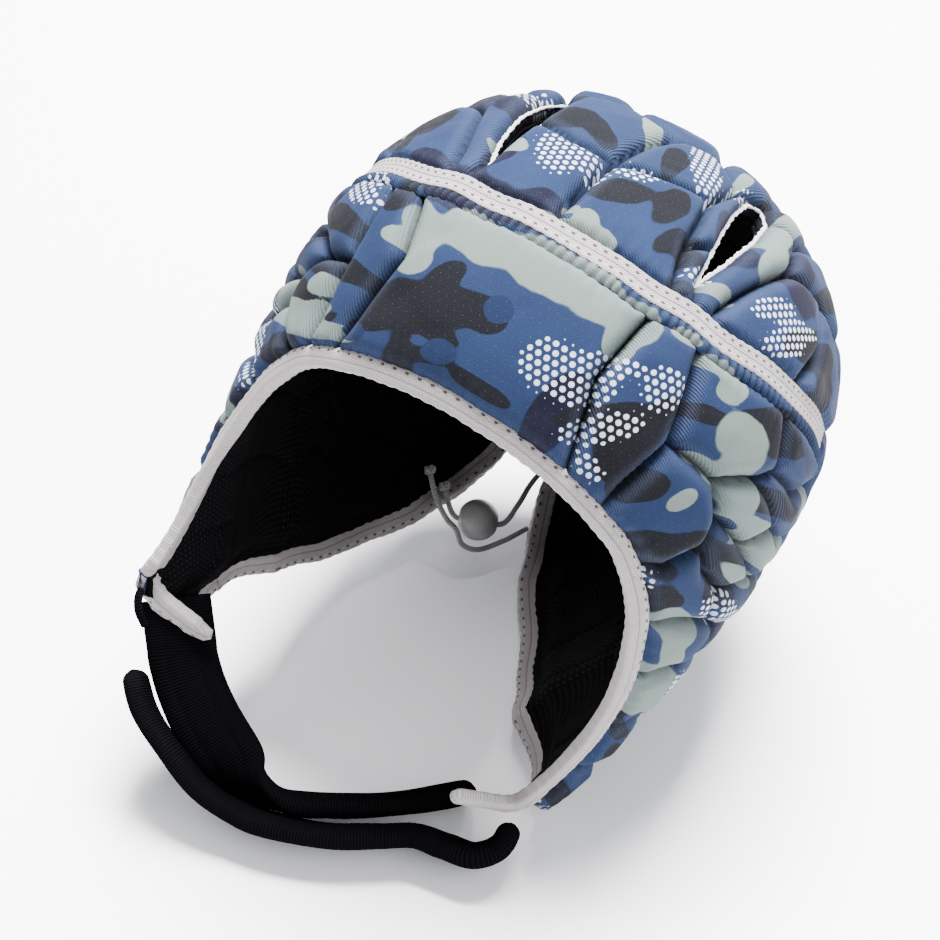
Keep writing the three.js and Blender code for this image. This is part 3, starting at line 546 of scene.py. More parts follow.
def spline(rows, spacing, closed=False):
    """Rows of values along a smooth path, about spacing mm apart by their first three values."""
    rows = np.asarray(rows, float)
    if closed:
        ring = np.vstack([rows[-1:], rows, rows[:2]])
    else:
        ring = np.vstack([2 * rows[0] - rows[1], rows, 2 * rows[-1] - rows[-2]])
    fine = []
    for k in range(1, len(ring) - 2):
        p, q, r, t = ring[k - 1:k + 3]
        for s in np.linspace(0, 1, 24, endpoint=False):
            fine.append(q + 0.5 * s * (r - p + s * (2 * p - 5 * q + 4 * r - t
                                                    + s * (3 * (q - r) + t - p))))
    fine.append(ring[-2])
    fine = np.array(fine)
    along = np.concatenate([[0], np.cumsum(np.linalg.norm(np.diff(fine[:, :3], axis=0), axis=1))])
    count = max(3, int(round(along[-1] / spacing)) + 1)
    places = np.linspace(0, along[-1], count)
    even = np.stack([np.interp(places, along, fine[:, k]) for k in range(fine.shape[1])], 1)
    return (even[:-1] if closed else even), (places[:-1] if closed else places)


def frames_along(path, outward_hint, closed=False):
    """Directions across and outward along a path."""
    if closed:
        ahead = np.roll(path, -1, 0) - np.roll(path, 1, 0)
    else:
        ahead = np.gradient(path, axis=0)
    ahead = unit(ahead)
    across = unit(np.cross(ahead, outward_hint))
    return across, unit(np.cross(across, ahead))


def sweep(name, path, places, across, out, sections, material, closed=False, extra=None):
    """A closed strip: sections is (path, ring, 2) of mm across and outward at each place."""
    path, sections = np.asarray(path, float), np.asarray(sections, float)
    if sections.ndim == 2:
        sections = np.broadcast_to(sections, (len(path),) + sections.shape)
    rings, size = sections.shape[:2]
    points = (path[:, None] + across[:, None] * sections[..., :1]
              + out[:, None] * sections[..., 1:2]).reshape(-1, 3)
    band = np.stack([np.broadcast_to(np.asarray(places)[:, None], (rings, size)),
                     sections[..., 0], sections[..., 1]], -1).reshape(-1, 3)
    index = np.arange(rings * size).reshape(rings, size)
    after = np.roll(index, -1, 0) if closed else index[1:]
    before = index if closed else index[:-1]
    faces = np.stack([before, np.roll(before, -1, 1), np.roll(after, -1, 1), after], -1)
    faces = faces.reshape(-1, 4).tolist()
    if not closed:
        ends = []
        for k, ring in ((0, index[0][::-1]), (rings - 1, index[-1])):
            middle = len(points) + len(ends)
            ends.append(points[ring].mean(0))
            faces += [[middle, int(ring[i]), int(ring[(i + 1) % size])] for i in range(size)]
        points = np.vstack([points, ends])
        band = np.vstack([band, band[index[0][0]], band[index[-1][0]]])
    # Rings run so that the strip's faces look out
    probe = np.array(faces[len(faces) // 3][:3])
    a, b, c = points[probe]
    middle = path[probe[0] // size] if probe[0] < rings * size else path[0]
    if np.dot(np.cross(b - a, c - a), a - middle) < 0:
        faces = [f[::-1] for f in faces]
    data = {"band": band}
    data.update(extra(points) if extra else {})
    return new_mesh(name, points, faces, material, data)


def rounded_section(width, thickness, power, count=40):
    """A section between an oval and a box, as mm across and outward."""
    turn = np.linspace(0, 2 * np.pi, count, endpoint=False)
    c, s = np.cos(turn), np.sin(turn)
    return np.stack([np.sign(c) * np.abs(c) ** (2 / power) * width / 2,
                     np.sign(s) * np.abs(s) ** (2 / power) * thickness / 2], 1)


# ---------------------------------------------------------------- shaders

def linear(red, green, blue):
    """A colour for a shader from its three screen values of 0 to 255."""
    return tuple((v / 255 / 12.92 if v <= 10.3 else ((v / 255 + 0.055) / 1.055) ** 2.4)
                 for v in (red, green, blue)) + (1.0,)


class Shader:
    """One material and short calls for its nodes."""

    def __init__(self, name, roughness, sheen=0.0, specular=0.3):
        self.material = bpy.data.materials.new(name)
        self.material.use_nodes = True
        self.tree = self.material.node_tree
        self.tree.nodes.clear()
        self.surface = self.tree.nodes.new("ShaderNodeBsdfPrincipled")
        output = self.tree.nodes.new("ShaderNodeOutputMaterial")
        self.tree.links.new(self.surface.outputs[0], output.inputs[0])
        self.surface.inputs["Roughness"].default_value = roughness
        self.surface.inputs["Specular IOR Level"].default_value = specular
        self.surface.inputs["Sheen Weight"].default_value = sheen
        self.surface.inputs["Sheen Roughness"].default_value = 0.5

    def put(self, socket, value):
        """Links a socket to another, or gives it a value."""
        if isinstance(value, bpy.types.NodeSocket):
            self.tree.links.new(value, socket)
        else:
            socket.default_value = value

    def math(self, operation, *values, clamp=False):
        """The result of one sum."""
        node = self.tree.nodes.new("ShaderNodeMath")
        node.operation = operation
        node.use_clamp = clamp
        for socket, value in zip(node.inputs, values):
            self.put(socket, value)
        return node.outputs[0]

    def ramp(self, value, low, high):
        """A smooth step from 0 at low to 1 at high."""
        node = self.tree.nodes.new("ShaderNodeMapRange")
        node.interpolation_type = "SMOOTHSTEP"
        for key, item in (("Value", value), ("From Min", low), ("From Max", high)):
            self.put(node.inputs[key], item)
        return node.outputs[0]

    def mix(self, share, first, second):
        """A colour between two."""
        node = self.tree.nodes.new("ShaderNodeMix")
        node.data_type = "RGBA"
        for place, item in ((0, share), (6, first), (7, second)):
            self.put(node.inputs[place], item)
        return node.outputs[2]

    def parts(self, name):
        """The three values of a vector attribute, then the vector."""
        node = self.tree.nodes.new("ShaderNodeAttribute")
        node.attribute_name = name
        split = self.tree.nodes.new("ShaderNodeSeparateXYZ")
        self.tree.links.new(node.outputs["Vector"], split.inputs[0])
        return split.outputs[0], split.outputs[1], split.outputs[2], node.outputs["Vector"]

    def noise(self, vector, size, detail=2.0):
        """Noise from 0 to 1 whose grain is about size in the vector's unit."""
        node = self.tree.nodes.new("ShaderNodeTexNoise")
        self.put(node.inputs["Vector"], vector)
        node.inputs["Scale"].default_value = 1.0 / size
        node.inputs["Detail"].default_value = detail
        return node.outputs[0]

    def wave(self, value, pitch, shift=0.0):
        """A sine from 0 to 1 along a value."""
        turn = self.math("MULTIPLY_ADD", value, 2 * math.pi / pitch, shift)
        return self.math("MULTIPLY_ADD", self.math("SINE", turn), 0.5, 0.5)

    def spots(self, along, across, pitch, at, half_long, half_wide):
        """Oval marks, one each pitch along and at one place across, from 0 to 1."""
        step = self.math("SUBTRACT", self.math("FRACT", self.math("DIVIDE", along, pitch)), 0.5)
        x = self.math("MULTIPLY", step, pitch / half_long)
        y = self.math("DIVIDE", self.math("SUBTRACT", across, at), half_wide)
        far = self.math("ADD", self.math("MULTIPLY", x, x), self.math("MULTIPLY", y, y))
        return self.math("SUBTRACT", 1.0, self.ramp(far, 0.55, 1.25))

    def finish(self, colour, height=None, depth=0.0003, strength=0.6):
        """Sets the colour and the relief, and gives the material."""
        self.put(self.surface.inputs["Base Color"], colour)
        if height is not None:
            bump = self.tree.nodes.new("ShaderNodeBump")
            bump.inputs["Strength"].default_value = strength
            bump.inputs["Distance"].default_value = depth
            self.put(bump.inputs["Height"], height)
            self.tree.links.new(bump.outputs[0], self.surface.inputs["Normal"])
        return self.material


BLUE = linear(19, 28, 50)
BLUE_LIGHT = linear(28, 40, 66)
PLUM = linear(15, 14, 27)
CHARCOAL = linear(15, 15, 18)
SAGE = linear(86, 96, 92)
DOT_WHITE = linear(160, 166, 178)
# Radius of a printed dot as a share of the pitch
DOT_SHARE = 0.32
# Pitch of the lining's mesh in mm
MESH_PITCH = 2.3


def camouflage_fabric(dot_pitch):
    """Stretch fabric with a camouflage print and patches of white dots in a hexagonal pattern."""
    s = Shader("camouflage_fabric", 0.9, specular=0.06)
    plum, charcoal, sage, _ = s.parts("print_a")
    blue, dots, _, _ = s.parts("print_b")
    stretch_and_highlight, groove, _, _ = s.parts("form")
    x, y, _, cloth = s.parts("cloth")
    warp = s.math("SUBTRACT", s.noise(cloth, 14.0, 1.0), 0.5)
    warp_fine = s.math("SUBTRACT", s.noise(cloth, 2.2, 2.0), 0.5)
    shake = s.math("MULTIPLY_ADD", warp, 0.45, s.math("MULTIPLY", warp_fine, 0.04))

    def share(field):
        return s.ramp(s.math("ADD", field, shake), 0.465, 0.535)

    tone = s.noise(cloth, 24.0, 2.0)
    colour = s.mix(tone, BLUE, BLUE_LIGHT)
    colour = s.mix(share(plum), colour, PLUM)
    colour = s.mix(share(charcoal), colour, CHARCOAL)
    colour = s.mix(share(sage), colour, SAGE)
    colour = s.mix(share(blue), colour, BLUE)

    # Distance to the nearest point of a hexagonal pattern
    def cell(value, size, shift):
        moved = s.math("ADD", s.math("DIVIDE", value, size), shift)
        return s.math("MULTIPLY", s.math("SUBTRACT", s.math("FRACT", moved), 0.5), size)

    def far(shift):
        a = cell(x, dot_pitch, shift)
        b = cell(y, dot_pitch * math.sqrt(3), shift)
        return s.math("ADD", s.math("MULTIPLY", a, a), s.math("MULTIPLY", b, b))

    near = s.math("SQRT", s.math("MINIMUM", far(0.0), far(0.5)))
    cover = s.ramp(s.math("ADD", dots, shake), 0.4, 0.62)
    dot_size = s.math("MULTIPLY", cover, dot_pitch * DOT_SHARE)
    dot = s.ramp(s.math("SUBTRACT", dot_size, near), -0.12, 0.14)
    colour = s.mix(dot, colour, DOT_WHITE)

    # Fine knit, and fabric that pales where it is pulled over a pad's shoulder, with a painted
    # highlight that also pales the crests of the gathers and of the tape's ruffle
    line = s.wave(s.math("ADD", x, s.math("MULTIPLY", y, 0.85)), 1.15)
    grain = s.noise(cloth, 0.55, 2.0)
    pull_and_highlight = s.math("MULTIPLY", stretch_and_highlight, s.math("MULTIPLY_ADD", line, 0.5, 0.42))
    pull_and_highlight = s.math("MULTIPLY", pull_and_highlight, s.math("MULTIPLY_ADD", tone, 0.9, 0.35))
    colour = s.mix(s.math("MULTIPLY", pull_and_highlight, 0.3), colour, linear(64, 73, 94))
    fleck = s.math("MULTIPLY", s.ramp(grain, 0.42, 0.72), 0.16)
    colour = s.mix(fleck, colour, linear(32, 38, 52))
    # Painted shade darkens the grooves and the ruffle's folds, partly over the seam's dark stitch
    # line
    stitch_and_groove_shade = s.math("MULTIPLY", groove, 0.8)
    colour = s.mix(stitch_and_groove_shade, colour, linear(8, 9, 14))
    height = s.math("MULTIPLY_ADD", grain, 0.6, s.math("MULTIPLY", line, stretch_and_highlight))
    return s.finish(colour, height, 0.00028, 0.7)


def lining_mesh():
    """Black mesh with small paler holes."""
    s = Shader("lining_mesh", 0.95, specular=0.02)
    x, y, _, cloth = s.parts("cloth")
    row = s.math("SUBTRACT", s.math("FRACT", s.math("DIVIDE", x, MESH_PITCH)), 0.5)
    column = s.math("SUBTRACT", s.math("FRACT", s.math("DIVIDE", y, MESH_PITCH)), 0.5)
    far = s.math("ADD", s.math("MULTIPLY", row, row), s.math("MULTIPLY", column, column))
    hole = s.math("SUBTRACT", 1.0, s.ramp(far, 0.018, 0.045))
    grain = s.noise(cloth, 0.7, 2.0)
    colour = s.mix(hole, linear(5, 5, 6), linear(24, 24, 27))
    colour = s.mix(s.math("MULTIPLY", grain, 0.2), colour, linear(14, 14, 16))
    return s.finish(colour, s.math("SUBTRACT", grain, hole), 0.0003, 0.5)


def tape_fabric(name, rows, spacing, fold):
    """Elastic tape in a fine herringbone knit, with rows of stitch holes and painted shade along
    the fold crease.
    """
    s = Shader(name, 0.88, sheen=0.03, specular=0.2)
    along, across, _, band = s.parts("band")
    rib = s.math("SUBTRACT", s.math("FRACT", s.math("DIVIDE", across, 2.1)), 0.5)
    rib = s.math("ABSOLUTE", rib)
    slant = s.wave(s.math("MULTIPLY_ADD", rib, 2.4, along), 0.95)
    cross = s.wave(across, 1.05)
    grain = s.noise(band, 0.8, 3.0)
    patchy = s.noise(band, 9.0, 2.0)
    colour = s.mix(slant, linear(116, 110, 111), linear(156, 150, 150))
    colour = s.mix(s.math("MULTIPLY", cross, 0.2), colour, linear(100, 94, 92))
    colour = s.mix(s.math("MULTIPLY", patchy, 0.3), colour, linear(124, 118, 119))
    # Painted shade: a dark line along the crease at the fold
    line = s.math("SUBTRACT", 1.0, s.ramp(s.math("ABSOLUTE", s.math("SUBTRACT", across, fold)),
                                           0.12, 0.42))
    colour = s.mix(s.math("MULTIPLY", line, 0.4), colour, linear(56, 52, 52))
    holes = None
    for at in rows:
        one = s.spots(along, across, spacing, at, 0.75, 0.42)
        holes = one if holes is None else s.math("MAXIMUM", holes, one)
    thread = None
    for at in rows:
        between = s.math("ADD", along, spacing / 2)
        one = s.spots(between, across, spacing, at, spacing * 0.36, 0.34)
        thread = one if thread is None else s.math("MAXIMUM", thread, one)
    colour = s.mix(s.math("MULTIPLY", thread, 0.3), colour, linear(176, 172, 170))
    colour = s.mix(s.math("MULTIPLY", holes, 0.85), colour, linear(18, 16, 17))
    height = s.math("MULTIPLY_ADD", slant, 0.45, s.math("MULTIPLY", grain, 0.3))
    height = s.math("SUBTRACT", height, s.math("MULTIPLY_ADD", holes, 1.4, line))
    return s.finish(colour, height, 0.00035, 0.8)


def strap_fabric():
    """Black padded knit with fine ribs across."""
    s = Shader("strap_fabric", 0.95, specular=0.0)
    along, across, _, band = s.parts("band")
    rib = s.wave(along, 1.05)
    purl = s.wave(across, 0.85)
    grain = s.noise(band, 0.6, 3.0)
    patchy = s.noise(band, 12.0, 2.0)
    colour = s.mix(rib, linear(2, 2, 3), linear(9, 9, 11))
    colour = s.mix(s.math("MULTIPLY", grain, 0.3), colour, linear(14, 14, 16))
    colour = s.mix(s.math("MULTIPLY", patchy, 0.35), colour, linear(6, 6, 7))
    height = s.math("MULTIPLY_ADD", purl, 0.35, s.math("MULTIPLY_ADD", grain, 0.6, rib))
    return s.finish(colour, height, 0.0003, 0.75)


def lace_braid():
    """Grey braided lace."""
    s = Shader("lace_braid", 0.75, sheen=0.1, specular=0.3)
    along, around, height_out, band = s.parts("band")
    turn = s.math("ARCTAN2", around, height_out)
    one = s.wave(s.math("MULTIPLY_ADD", turn, 0.55, along), 1.1)
    two = s.wave(s.math("MULTIPLY_ADD", turn, -0.55, along), 1.1)
    braid = s.math("MAXIMUM", one, two)
    grain = s.noise(band, 0.4, 2.0)
    colour = s.mix(braid, linear(84, 82, 81), linear(132, 130, 128))
    colour = s.mix(s.math("MULTIPLY", grain, 0.25), colour, linear(146, 143, 140))
    return s.finish(colour, braid, 0.00025, 0.8)


def toggle_plastic():
    """Matt grey moulded plastic with fine scratches."""
    s = Shader("toggle_plastic", 0.48, specular=0.45)
    _, _, _, cloth = s.parts("cloth")
    grain = s.noise(cloth, 1.2, 4.0)
    patchy = s.noise(cloth, 6.0, 2.0)
    colour = s.mix(patchy, linear(112, 110, 110), linear(132, 130, 130))
    return s.finish(colour, grain, 0.0001, 0.35)


def plain_thread(name, colour, paler):
    """Loose thread or a raw fabric edge."""
    s = Shader(name, 0.9, sheen=0.15, specular=0.2)
    _, _, _, band = s.parts("band")
    grain = s.noise(band, 0.5, 3.0)
    return s.finish(s.mix(grain, colour, paler), grain, 0.0002, 0.8)


# ---------------------------------------------------------------- padded panels

# Step of the grids over the chart
LATTICE = 0.0072
# Groove and edge distances in mm of a point that has none near
NO_GROOVE = 60.0
NO_EDGE = 99.0
# Least thickness of the wall in mm
THIN_WALL = 0.6
# Outline points this near in mm take a grid point that lies between two pads
SNAP_REACH = 1.5
# Ear holes as azimuth and level, then their radius and the depth that each lies at, in mm
EAR_HOLES = [(117, 1.35), (123, 1.29), (128, 1.37), (109, 1.4), (121, 1.43), (111, 1.48)]
EAR_HOLE_RADIUS = 1.6
HOLE_DEPTH = 8.2


def all_pads():
    """Every pad as its panel, outline, edge names, solid outline and length a sample."""
    tables = [("panel_forehead", FOREHEAD_PADS, SIDE_CORNERS, 1),
              ("panel_crown", CROWN_PADS, CROWN_CORNERS, 1),
              ("panel_crown", CROWN_SIDE_PADS, CROWN_CORNERS, 1),
              ("panel_crown", CROWN_SIDE_PADS, CROWN_CORNERS, -1)]
    for side, word in ((1, "left"), (-1, "right")):
        tables.append(("panel_side_" + word, SIDE_PADS, SIDE_CORNERS, side))
        tables.append(("panel_back_" + word, BACK_PADS, SIDE_CORNERS, side))
    pads = []
    for panel, texts, table, side in tables:
        for text in texts:
            outline, edges = pad_outline(text, table, side)
            solid = outside(outline)
            length = np.linalg.norm(np.roll(solid, -1, 0) - solid, axis=1)
            middle = outside(outline.mean(0))
            facing = outward(outline.mean(0))
            across = unit(np.cross([0.0, 0.0, 1.0], facing) + [1e-6, 0, 0])
            pads.append(dict(panel=panel, outline=outline, edges=edges, solid=solid, length=length,
                             middle=middle, across=across, up=np.cross(facing, across)))
    return pads


def inside(points, outline):
    """Whether chart points lie inside an outline."""
    x, y = points[:, 0], points[:, 1]
    result = np.zeros(len(points), bool)
    after = np.roll(outline, -1, 0)
    for (x1, y1), (x2, y2) in zip(outline, after):
        if y1 == y2:
            continue
        crosses = ((y1 > y) != (y2 > y)) & (x < (x2 - x1) * (y - y1) / (y2 - y1) + x1)
        result ^= crosses
    return result


def ring_of_hole(azimuth, level, side, count=20):
    """Chart points round an ear hole."""
    at = chart_point(side * azimuth, level)
    step = 0.003
    jacobian = np.stack([outside(at + [step, 0]) - outside(at - [step, 0]),
                         outside(at + [0, step]) - outside(at - [0, step])], 1) / (2 * step)
    facing = outward(at)
    across = unit(np.cross([0.0, 0.0, 1.0], facing))
    up = np.cross(facing, across)
    turn = np.linspace(0, 2 * np.pi, count, endpoint=False)[:, None]
    offset = EAR_HOLE_RADIUS * (np.cos(turn) * across + np.sin(turn) * up)
    return at + offset @ np.linalg.pinv(jacobian).T


def edge_samples():
    """Every bound edge as names, places along in mm and solid points."""
    names, places, points = [], [], []
    for name, last in EDGE_ENDS.items():
        line = outside(np.array([edge_point(name, p) for p in np.linspace(-last, last, 1400)]))
        along = np.concatenate([[0], np.cumsum(np.linalg.norm(np.diff(line, axis=0), axis=1))])
        names += [name] * len(line)
        places.append(along)
        points.append(line)
    return np.array(names), np.concatenate(places), np.vstack(points)


def tree_of(points):
    """A search tree of points."""
    tree = KDTree(len(points))
    for k, point in enumerate(points):
        tree.insert(point, k)
    tree.balance()
    return tree


def nearest(tree, points):
    """Index and distance of the nearest point of a tree to each point."""
    found = [tree.find(p) for p in points.tolist()]
    return np.array([f[1] for f in found]), np.array([f[2] for f in found])


def fillet(distance, reach):
    """Fall of a rounded shoulder: 1 at its foot, 0 at its top."""
    share = np.clip(1.0 - distance / reach, 0.0, 1.0)
    return 1.0 - np.sqrt(1.0 - share * share)


def lattice_of(kind):
    """A grid of chart points about 1.1 mm apart."""
    if kind == "level":
        azimuth = np.linspace(-180, 180, 2 * int(180 / 0.62) + 1)
        level = np.arange(0.46, 1.95, LATTICE)
        a, b = np.meshgrid(azimuth, level)
        return chart_point(a, b)
    side = np.arange(-0.82, 0.82, LATTICE)
    a, b = np.meshgrid(side, side)
    return np.stack([a, b], -1)


def owners(lattice, pads, chosen, holes):
    """The pad that each face of a grid belongs to, or -1."""
    middle = (lattice[:-1, :-1] + lattice[1:, :-1] + lattice[:-1, 1:] + lattice[1:, 1:]) / 4
    flat = middle.reshape(-1, 2)
    owner = np.full(len(flat), -1)
    for k in chosen:
        outline = pads[k]["outline"]
        low, high = outline.min(0), outline.max(0)
        near = np.where(((flat >= low) & (flat <= high)).all(1) & (owner < 0))[0]
        owner[near[inside(flat[near], outline)]] = k
    for ring in holes:
        low, high = ring.min(0), ring.max(0)
        near = np.where(((flat >= low) & (flat <= high)).all(1))[0]
        owner[near[inside(flat[near], ring)]] = -1
    return owner.reshape(middle.shape[:2])


def panel_data():
    """Chart points, faces, pads and depths of every panel, worked out once."""
    pads = all_pads()
    names, along, edge_points = edge_samples()
    edge_tree = tree_of(edge_points)
    rings = [ring_of_hole(a, b, side) for a, b in EAR_HOLES for side in (1, -1)]
    outlines = np.vstack([pad["outline"] for pad in pads] + rings)
    tags = np.concatenate([pad["edges"] for pad in pads]
                          + [np.array(["hole"] * len(ring)) for ring in rings])
    outline_tree = tree_of(outside(outlines))
    panels = {}
    for kind in ("level", "flat"):
        lattice = lattice_of(kind)
        chosen = [k for k, pad in enumerate(pads)
                  if (pad["panel"] == "panel_crown") == (kind == "flat")]
        owner = owners(lattice, pads, chosen, rings if kind == "level" else [])
        chart = lattice.reshape(-1, 2).copy()
        framed = np.pad(owner, 1, constant_values=-1)
        four = np.stack([framed[:-1, :-1], framed[1:, :-1], framed[:-1, 1:], framed[1:, 1:]])
        border = (four.max(0) != four.min(0)).ravel()
        own = four.max(0).ravel()
        # Points between two pads move onto the line between them
        where = np.where(border)[0]
        index, distance = nearest(outline_tree, outside(chart[where]))
        moves = distance < SNAP_REACH
        chart[where[moves]] = outlines[index[moves]]
        on_groove = np.zeros(len(chart), bool)
        on_groove[where[moves]] = np.isin(tags[index[moves]], ["", "rear"])
        used = own >= 0
        solid = np.zeros((len(chart), 3))
        solid[used] = outside(chart[used])
        facing = np.zeros((len(chart), 3))
        facing[used] = outward(chart[used])
        groove = np.full(len(chart), NO_GROOVE)
        for k in chosen:
            pad = pads[k]
            mine = np.where(own == k)[0]
            free = ~np.isin(pad["edges"], list(EDGE_ENDS))
            if not free.any():
                continue
            # The distance comes from a sum over the outline, so the pad's top has no ridges
            gaps = solid[mine][:, None] - pad["solid"][free][None]
            square = np.maximum((gaps ** 2).sum(-1), 1e-4)
            total = (pad["length"][free][None] / square ** 2).sum(1)
            groove[mine] = (np.pi / (2 * total)) ** (1 / 3)
        groove[on_groove] = 0.0
        edge = np.full(len(chart), NO_EDGE)
        edge_at = np.zeros(len(chart))
        edge_name = np.full(len(chart), "none ")
        index, distance = nearest(edge_tree, solid[used])
        edge[used], edge_at[used], edge_name[used] = distance, along[index], names[index]
        shape = owner.shape
        grid = np.arange(len(chart)).reshape(shape[0] + 1, shape[1] + 1)
        for panel in sorted({pads[k]["panel"] for k in chosen}):
            mine = np.isin(owner, [k for k in chosen if pads[k]["panel"] == panel])
            rows, columns = np.where(mine)
            faces = np.stack([grid[rows, columns], grid[rows, columns + 1],
                              grid[rows + 1, columns + 1], grid[rows + 1, columns]], 1)
            points, compact = np.unique(faces, return_inverse=True)
            panels[panel] = dict(
                chart=chart[points], solid=solid[points], facing=facing[points],
                groove=groove[points], edge=edge[points], edge_at=edge_at[points],
                edge_name=edge_name[points], faces=compact.reshape(faces.shape),
                pad_of_face=owner[rows, columns])
    return pads, panels


def relief(panel, data, settings):
    """Depth below the tops of the pads, the pull of the fabric with a painted highlight on the
    gathers' crests, and painted shade in the grooves.
    """
    solid, edge, groove = data["solid"], data["edge"], data["groove"]
    below_tape = (data["edge_name"] == "crown") & (panel != "panel_crown")
    start = np.where(below_tape, 8.3, 3.4)
    open_depth = EDGE_DEPTH + (GROOVE_DEPTH - EDGE_DEPTH) * smoothstep(2.0, 16.0, edge)
    side = fillet(np.maximum(groove - 0.35, 0), mm(settings.shoulder))
    depth = open_depth * (0.8 * side + 0.2 * fillet(groove, 22.0))
    rim = (EDGE_DEPTH + 0.1) * fillet(np.maximum(edge - start, 0), 5.5)
    depth = (depth ** 4 + rim ** 4) ** 0.25
    # Gathers beside the tapes
    pitch = np.where(data["edge_name"] == "crown", 4.3, 4.9)
    drift = 1.3 * np.sin(data["edge_at"] / 17.0) + 0.9 * np.sin(data["edge_at"] / 7.3 + 1.0)
    fold = np.sin(2 * np.pi * data["edge_at"] / pitch + drift)
    fold = np.sign(fold) * np.abs(fold) ** 0.8
    gather = mm(settings.gathers) * fold * np.exp(-np.maximum(edge - start, 0) / 4.2)
    gather *= smoothstep(start - 1.0, start + 1.2, edge)
    gather *= 0.6 + 0.4 * np.sin(data["edge_at"] / 11)
    depth = depth - np.where(panel == "panel_forehead", 0.8, 1.0) * gather
    # Slow dents and small creases over the foam
    spin = np.random.default_rng(7)
    for wave, height in ((46, 0.32), (31, 0.26), (22, 0.2), (15, 0.12), (9, 0.06), (7, 0.05)):
        for _ in range(3):
            way = unit(spin.normal(size=3))
            depth = depth + height * 0.6 * np.sin(
                2 * np.pi * (solid @ way) / wave + spin.uniform(0, 6.3)) * smoothstep(1, 6, groove)
    # The foam stops short of each ear hole, so the wall is thin there
    holes = outside(np.array([chart_point(side * a, b) for a, b in EAR_HOLES for side in (1, -1)]))
    away = np.linalg.norm(solid[:, None] - holes[None], axis=2).min(1)
    depth = np.maximum(depth, HOLE_DEPTH * (1 - smoothstep(EAR_HOLE_RADIUS, 4.6, away)))
    pull_and_highlight = np.exp(-((groove - 2.6) / 1.9) ** 2) + 0.5 * np.exp(-((edge - start - 2.2) / 1.8) ** 2)
    # The crests of the gathers are made paler too: a painted highlight
    pull_and_highlight += 0.25 * np.clip(fold, 0, 1) * np.exp(-np.maximum(edge - start, 0) / 5.0)
    # Painted shade in the grooves between the pads, partly the dark stitch line of the seam
    shade = np.exp(-(groove / 1.05) ** 2)
    return depth, np.clip(pull_and_highlight, 0, 1), np.clip(shade, 0, 1)


def wall_under(edge):
    """Depth in mm of the wall's inner side, by the distance from an edge."""
    return EDGE_UNDER + (PANEL_UNDER - EDGE_UNDER) * smoothstep(3.0, 15.0, edge)


def closed_skin(outer, inner, faces):
    """Points of a closed skin between two surfaces, and the faces of each and of the rim."""
    count = len(outer)
    edges = {}
    for face in faces.tolist():
        for k in range(4):
            a, b = face[k], face[(k + 1) % 4]
            if a == b:
                continue
            if (b, a) in edges:
                del edges[(b, a)]
            else:
                edges[(a, b)] = 1
    rim = np.array([(b, a, a + count, b + count) for a, b in edges], int)
    lower = faces[:, ::-1] + count
    return np.vstack([outer, inner]), faces, lower, rim


def tidy_faces(faces):
    """Faces with repeated corners dropped, as lists, and which faces were kept."""
    kept, result = [], []
    for k, face in enumerate(faces.tolist()):
        corners = []
        for c in face:
            if c not in corners:
                corners.append(c)
        if len(corners) >= 3:
            kept.append(k)
            result.append(corners)
    return result, kept


# ---------------------------------------------------------------- camouflage

# Most patches and tries for them, and least distance in mm of a chance patch from the rest
MOST_PATCHES = 330
MOST_TRIES = 900
LEAST_GAP = 13


def print_patches(seed):
    """Rows of every patch of the print, the listed ones first and then those by chance."""
    rows = list(PATCHES)
    placed = np.array([outside(chart_point(row[1], row[2])) for row in rows])
    spin = np.random.default_rng(seed)
    names = ["charcoal", "sage", "plum", "dots", "blue"]
    tries = 0
    while len(rows) < MOST_PATCHES and tries < MOST_TRIES:
        tries += 1
        azimuth = spin.uniform(-180, 180)
        level = math.sqrt(spin.uniform(0.02, 3.0))
        colour = names[spin.choice(5, p=[0.36, 0.27, 0.17, 0.12, 0.08])]
        long, wide, turn = spin.uniform(8, 24), spin.uniform(5, 11), spin.uniform(-90, 90)
        at = outside(chart_point(azimuth, level))
        if np.linalg.norm(placed - at, axis=1).min() < LEAST_GAP:
            continue
        rows.append((colour, azimuth, level, long, wide, turn))
        if tries % 2:
            placed = np.vstack([placed, at])
    return rows


def print_fields(points, rows):
    """How strongly each colour of the print covers points of the upright cap."""
    fields = {name: np.zeros(len(points)) for name in ("plum", "charcoal", "sage", "blue", "dots")}
    for colour, azimuth, level, long, wide, turn in rows:
        at = chart_point(azimuth, level)
        middle, normal = outside(at), outward(at)
        across = unit(np.cross([0.0, 0.0, 1.0], normal) + [1e-6, 0, 0])
        up = np.cross(normal, across)
        near = np.where(np.abs(points - middle).max(1) < 2.6 * long + 4)[0]
        offset = points[near] - middle
        reach = np.linalg.norm(offset, axis=1)
        x, y = offset @ across, offset @ up
        flat = np.maximum(np.hypot(x, y), 1e-9)
        x, y = x / flat * reach, y / flat * reach
        c, s = math.cos(math.radians(turn)), math.sin(math.radians(turn))
        p, q = (c * x + s * y) / long, (c * y - s * x) / wide
        strength = np.exp(-0.693 * (p * p + q * q))
        fields[colour][near] += strength ** 3
    return {name: np.minimum(value, 1.6) ** (1 / 3) for name, value in fields.items()}


def print_data(points, rows):
    """The two vector attributes of the print."""
    f = print_fields(points, rows)
    return (np.stack([f["plum"], f["charcoal"], f["sage"]], 1),
            np.stack([f["blue"], f["dots"], np.zeros(len(points))], 1))


def pad_cloth(points, pad):
    """Flat coordinates in mm over a pad."""
    offset = points - pad["middle"]
    reach = np.linalg.norm(offset, axis=-1)
    x, y = offset @ pad["across"], offset @ pad["up"]
    flat = np.maximum(np.hypot(x, y), 1e-9)
    return np.stack([x / flat * reach, y / flat * reach, np.zeros(len(points))], -1)


WORK = {}


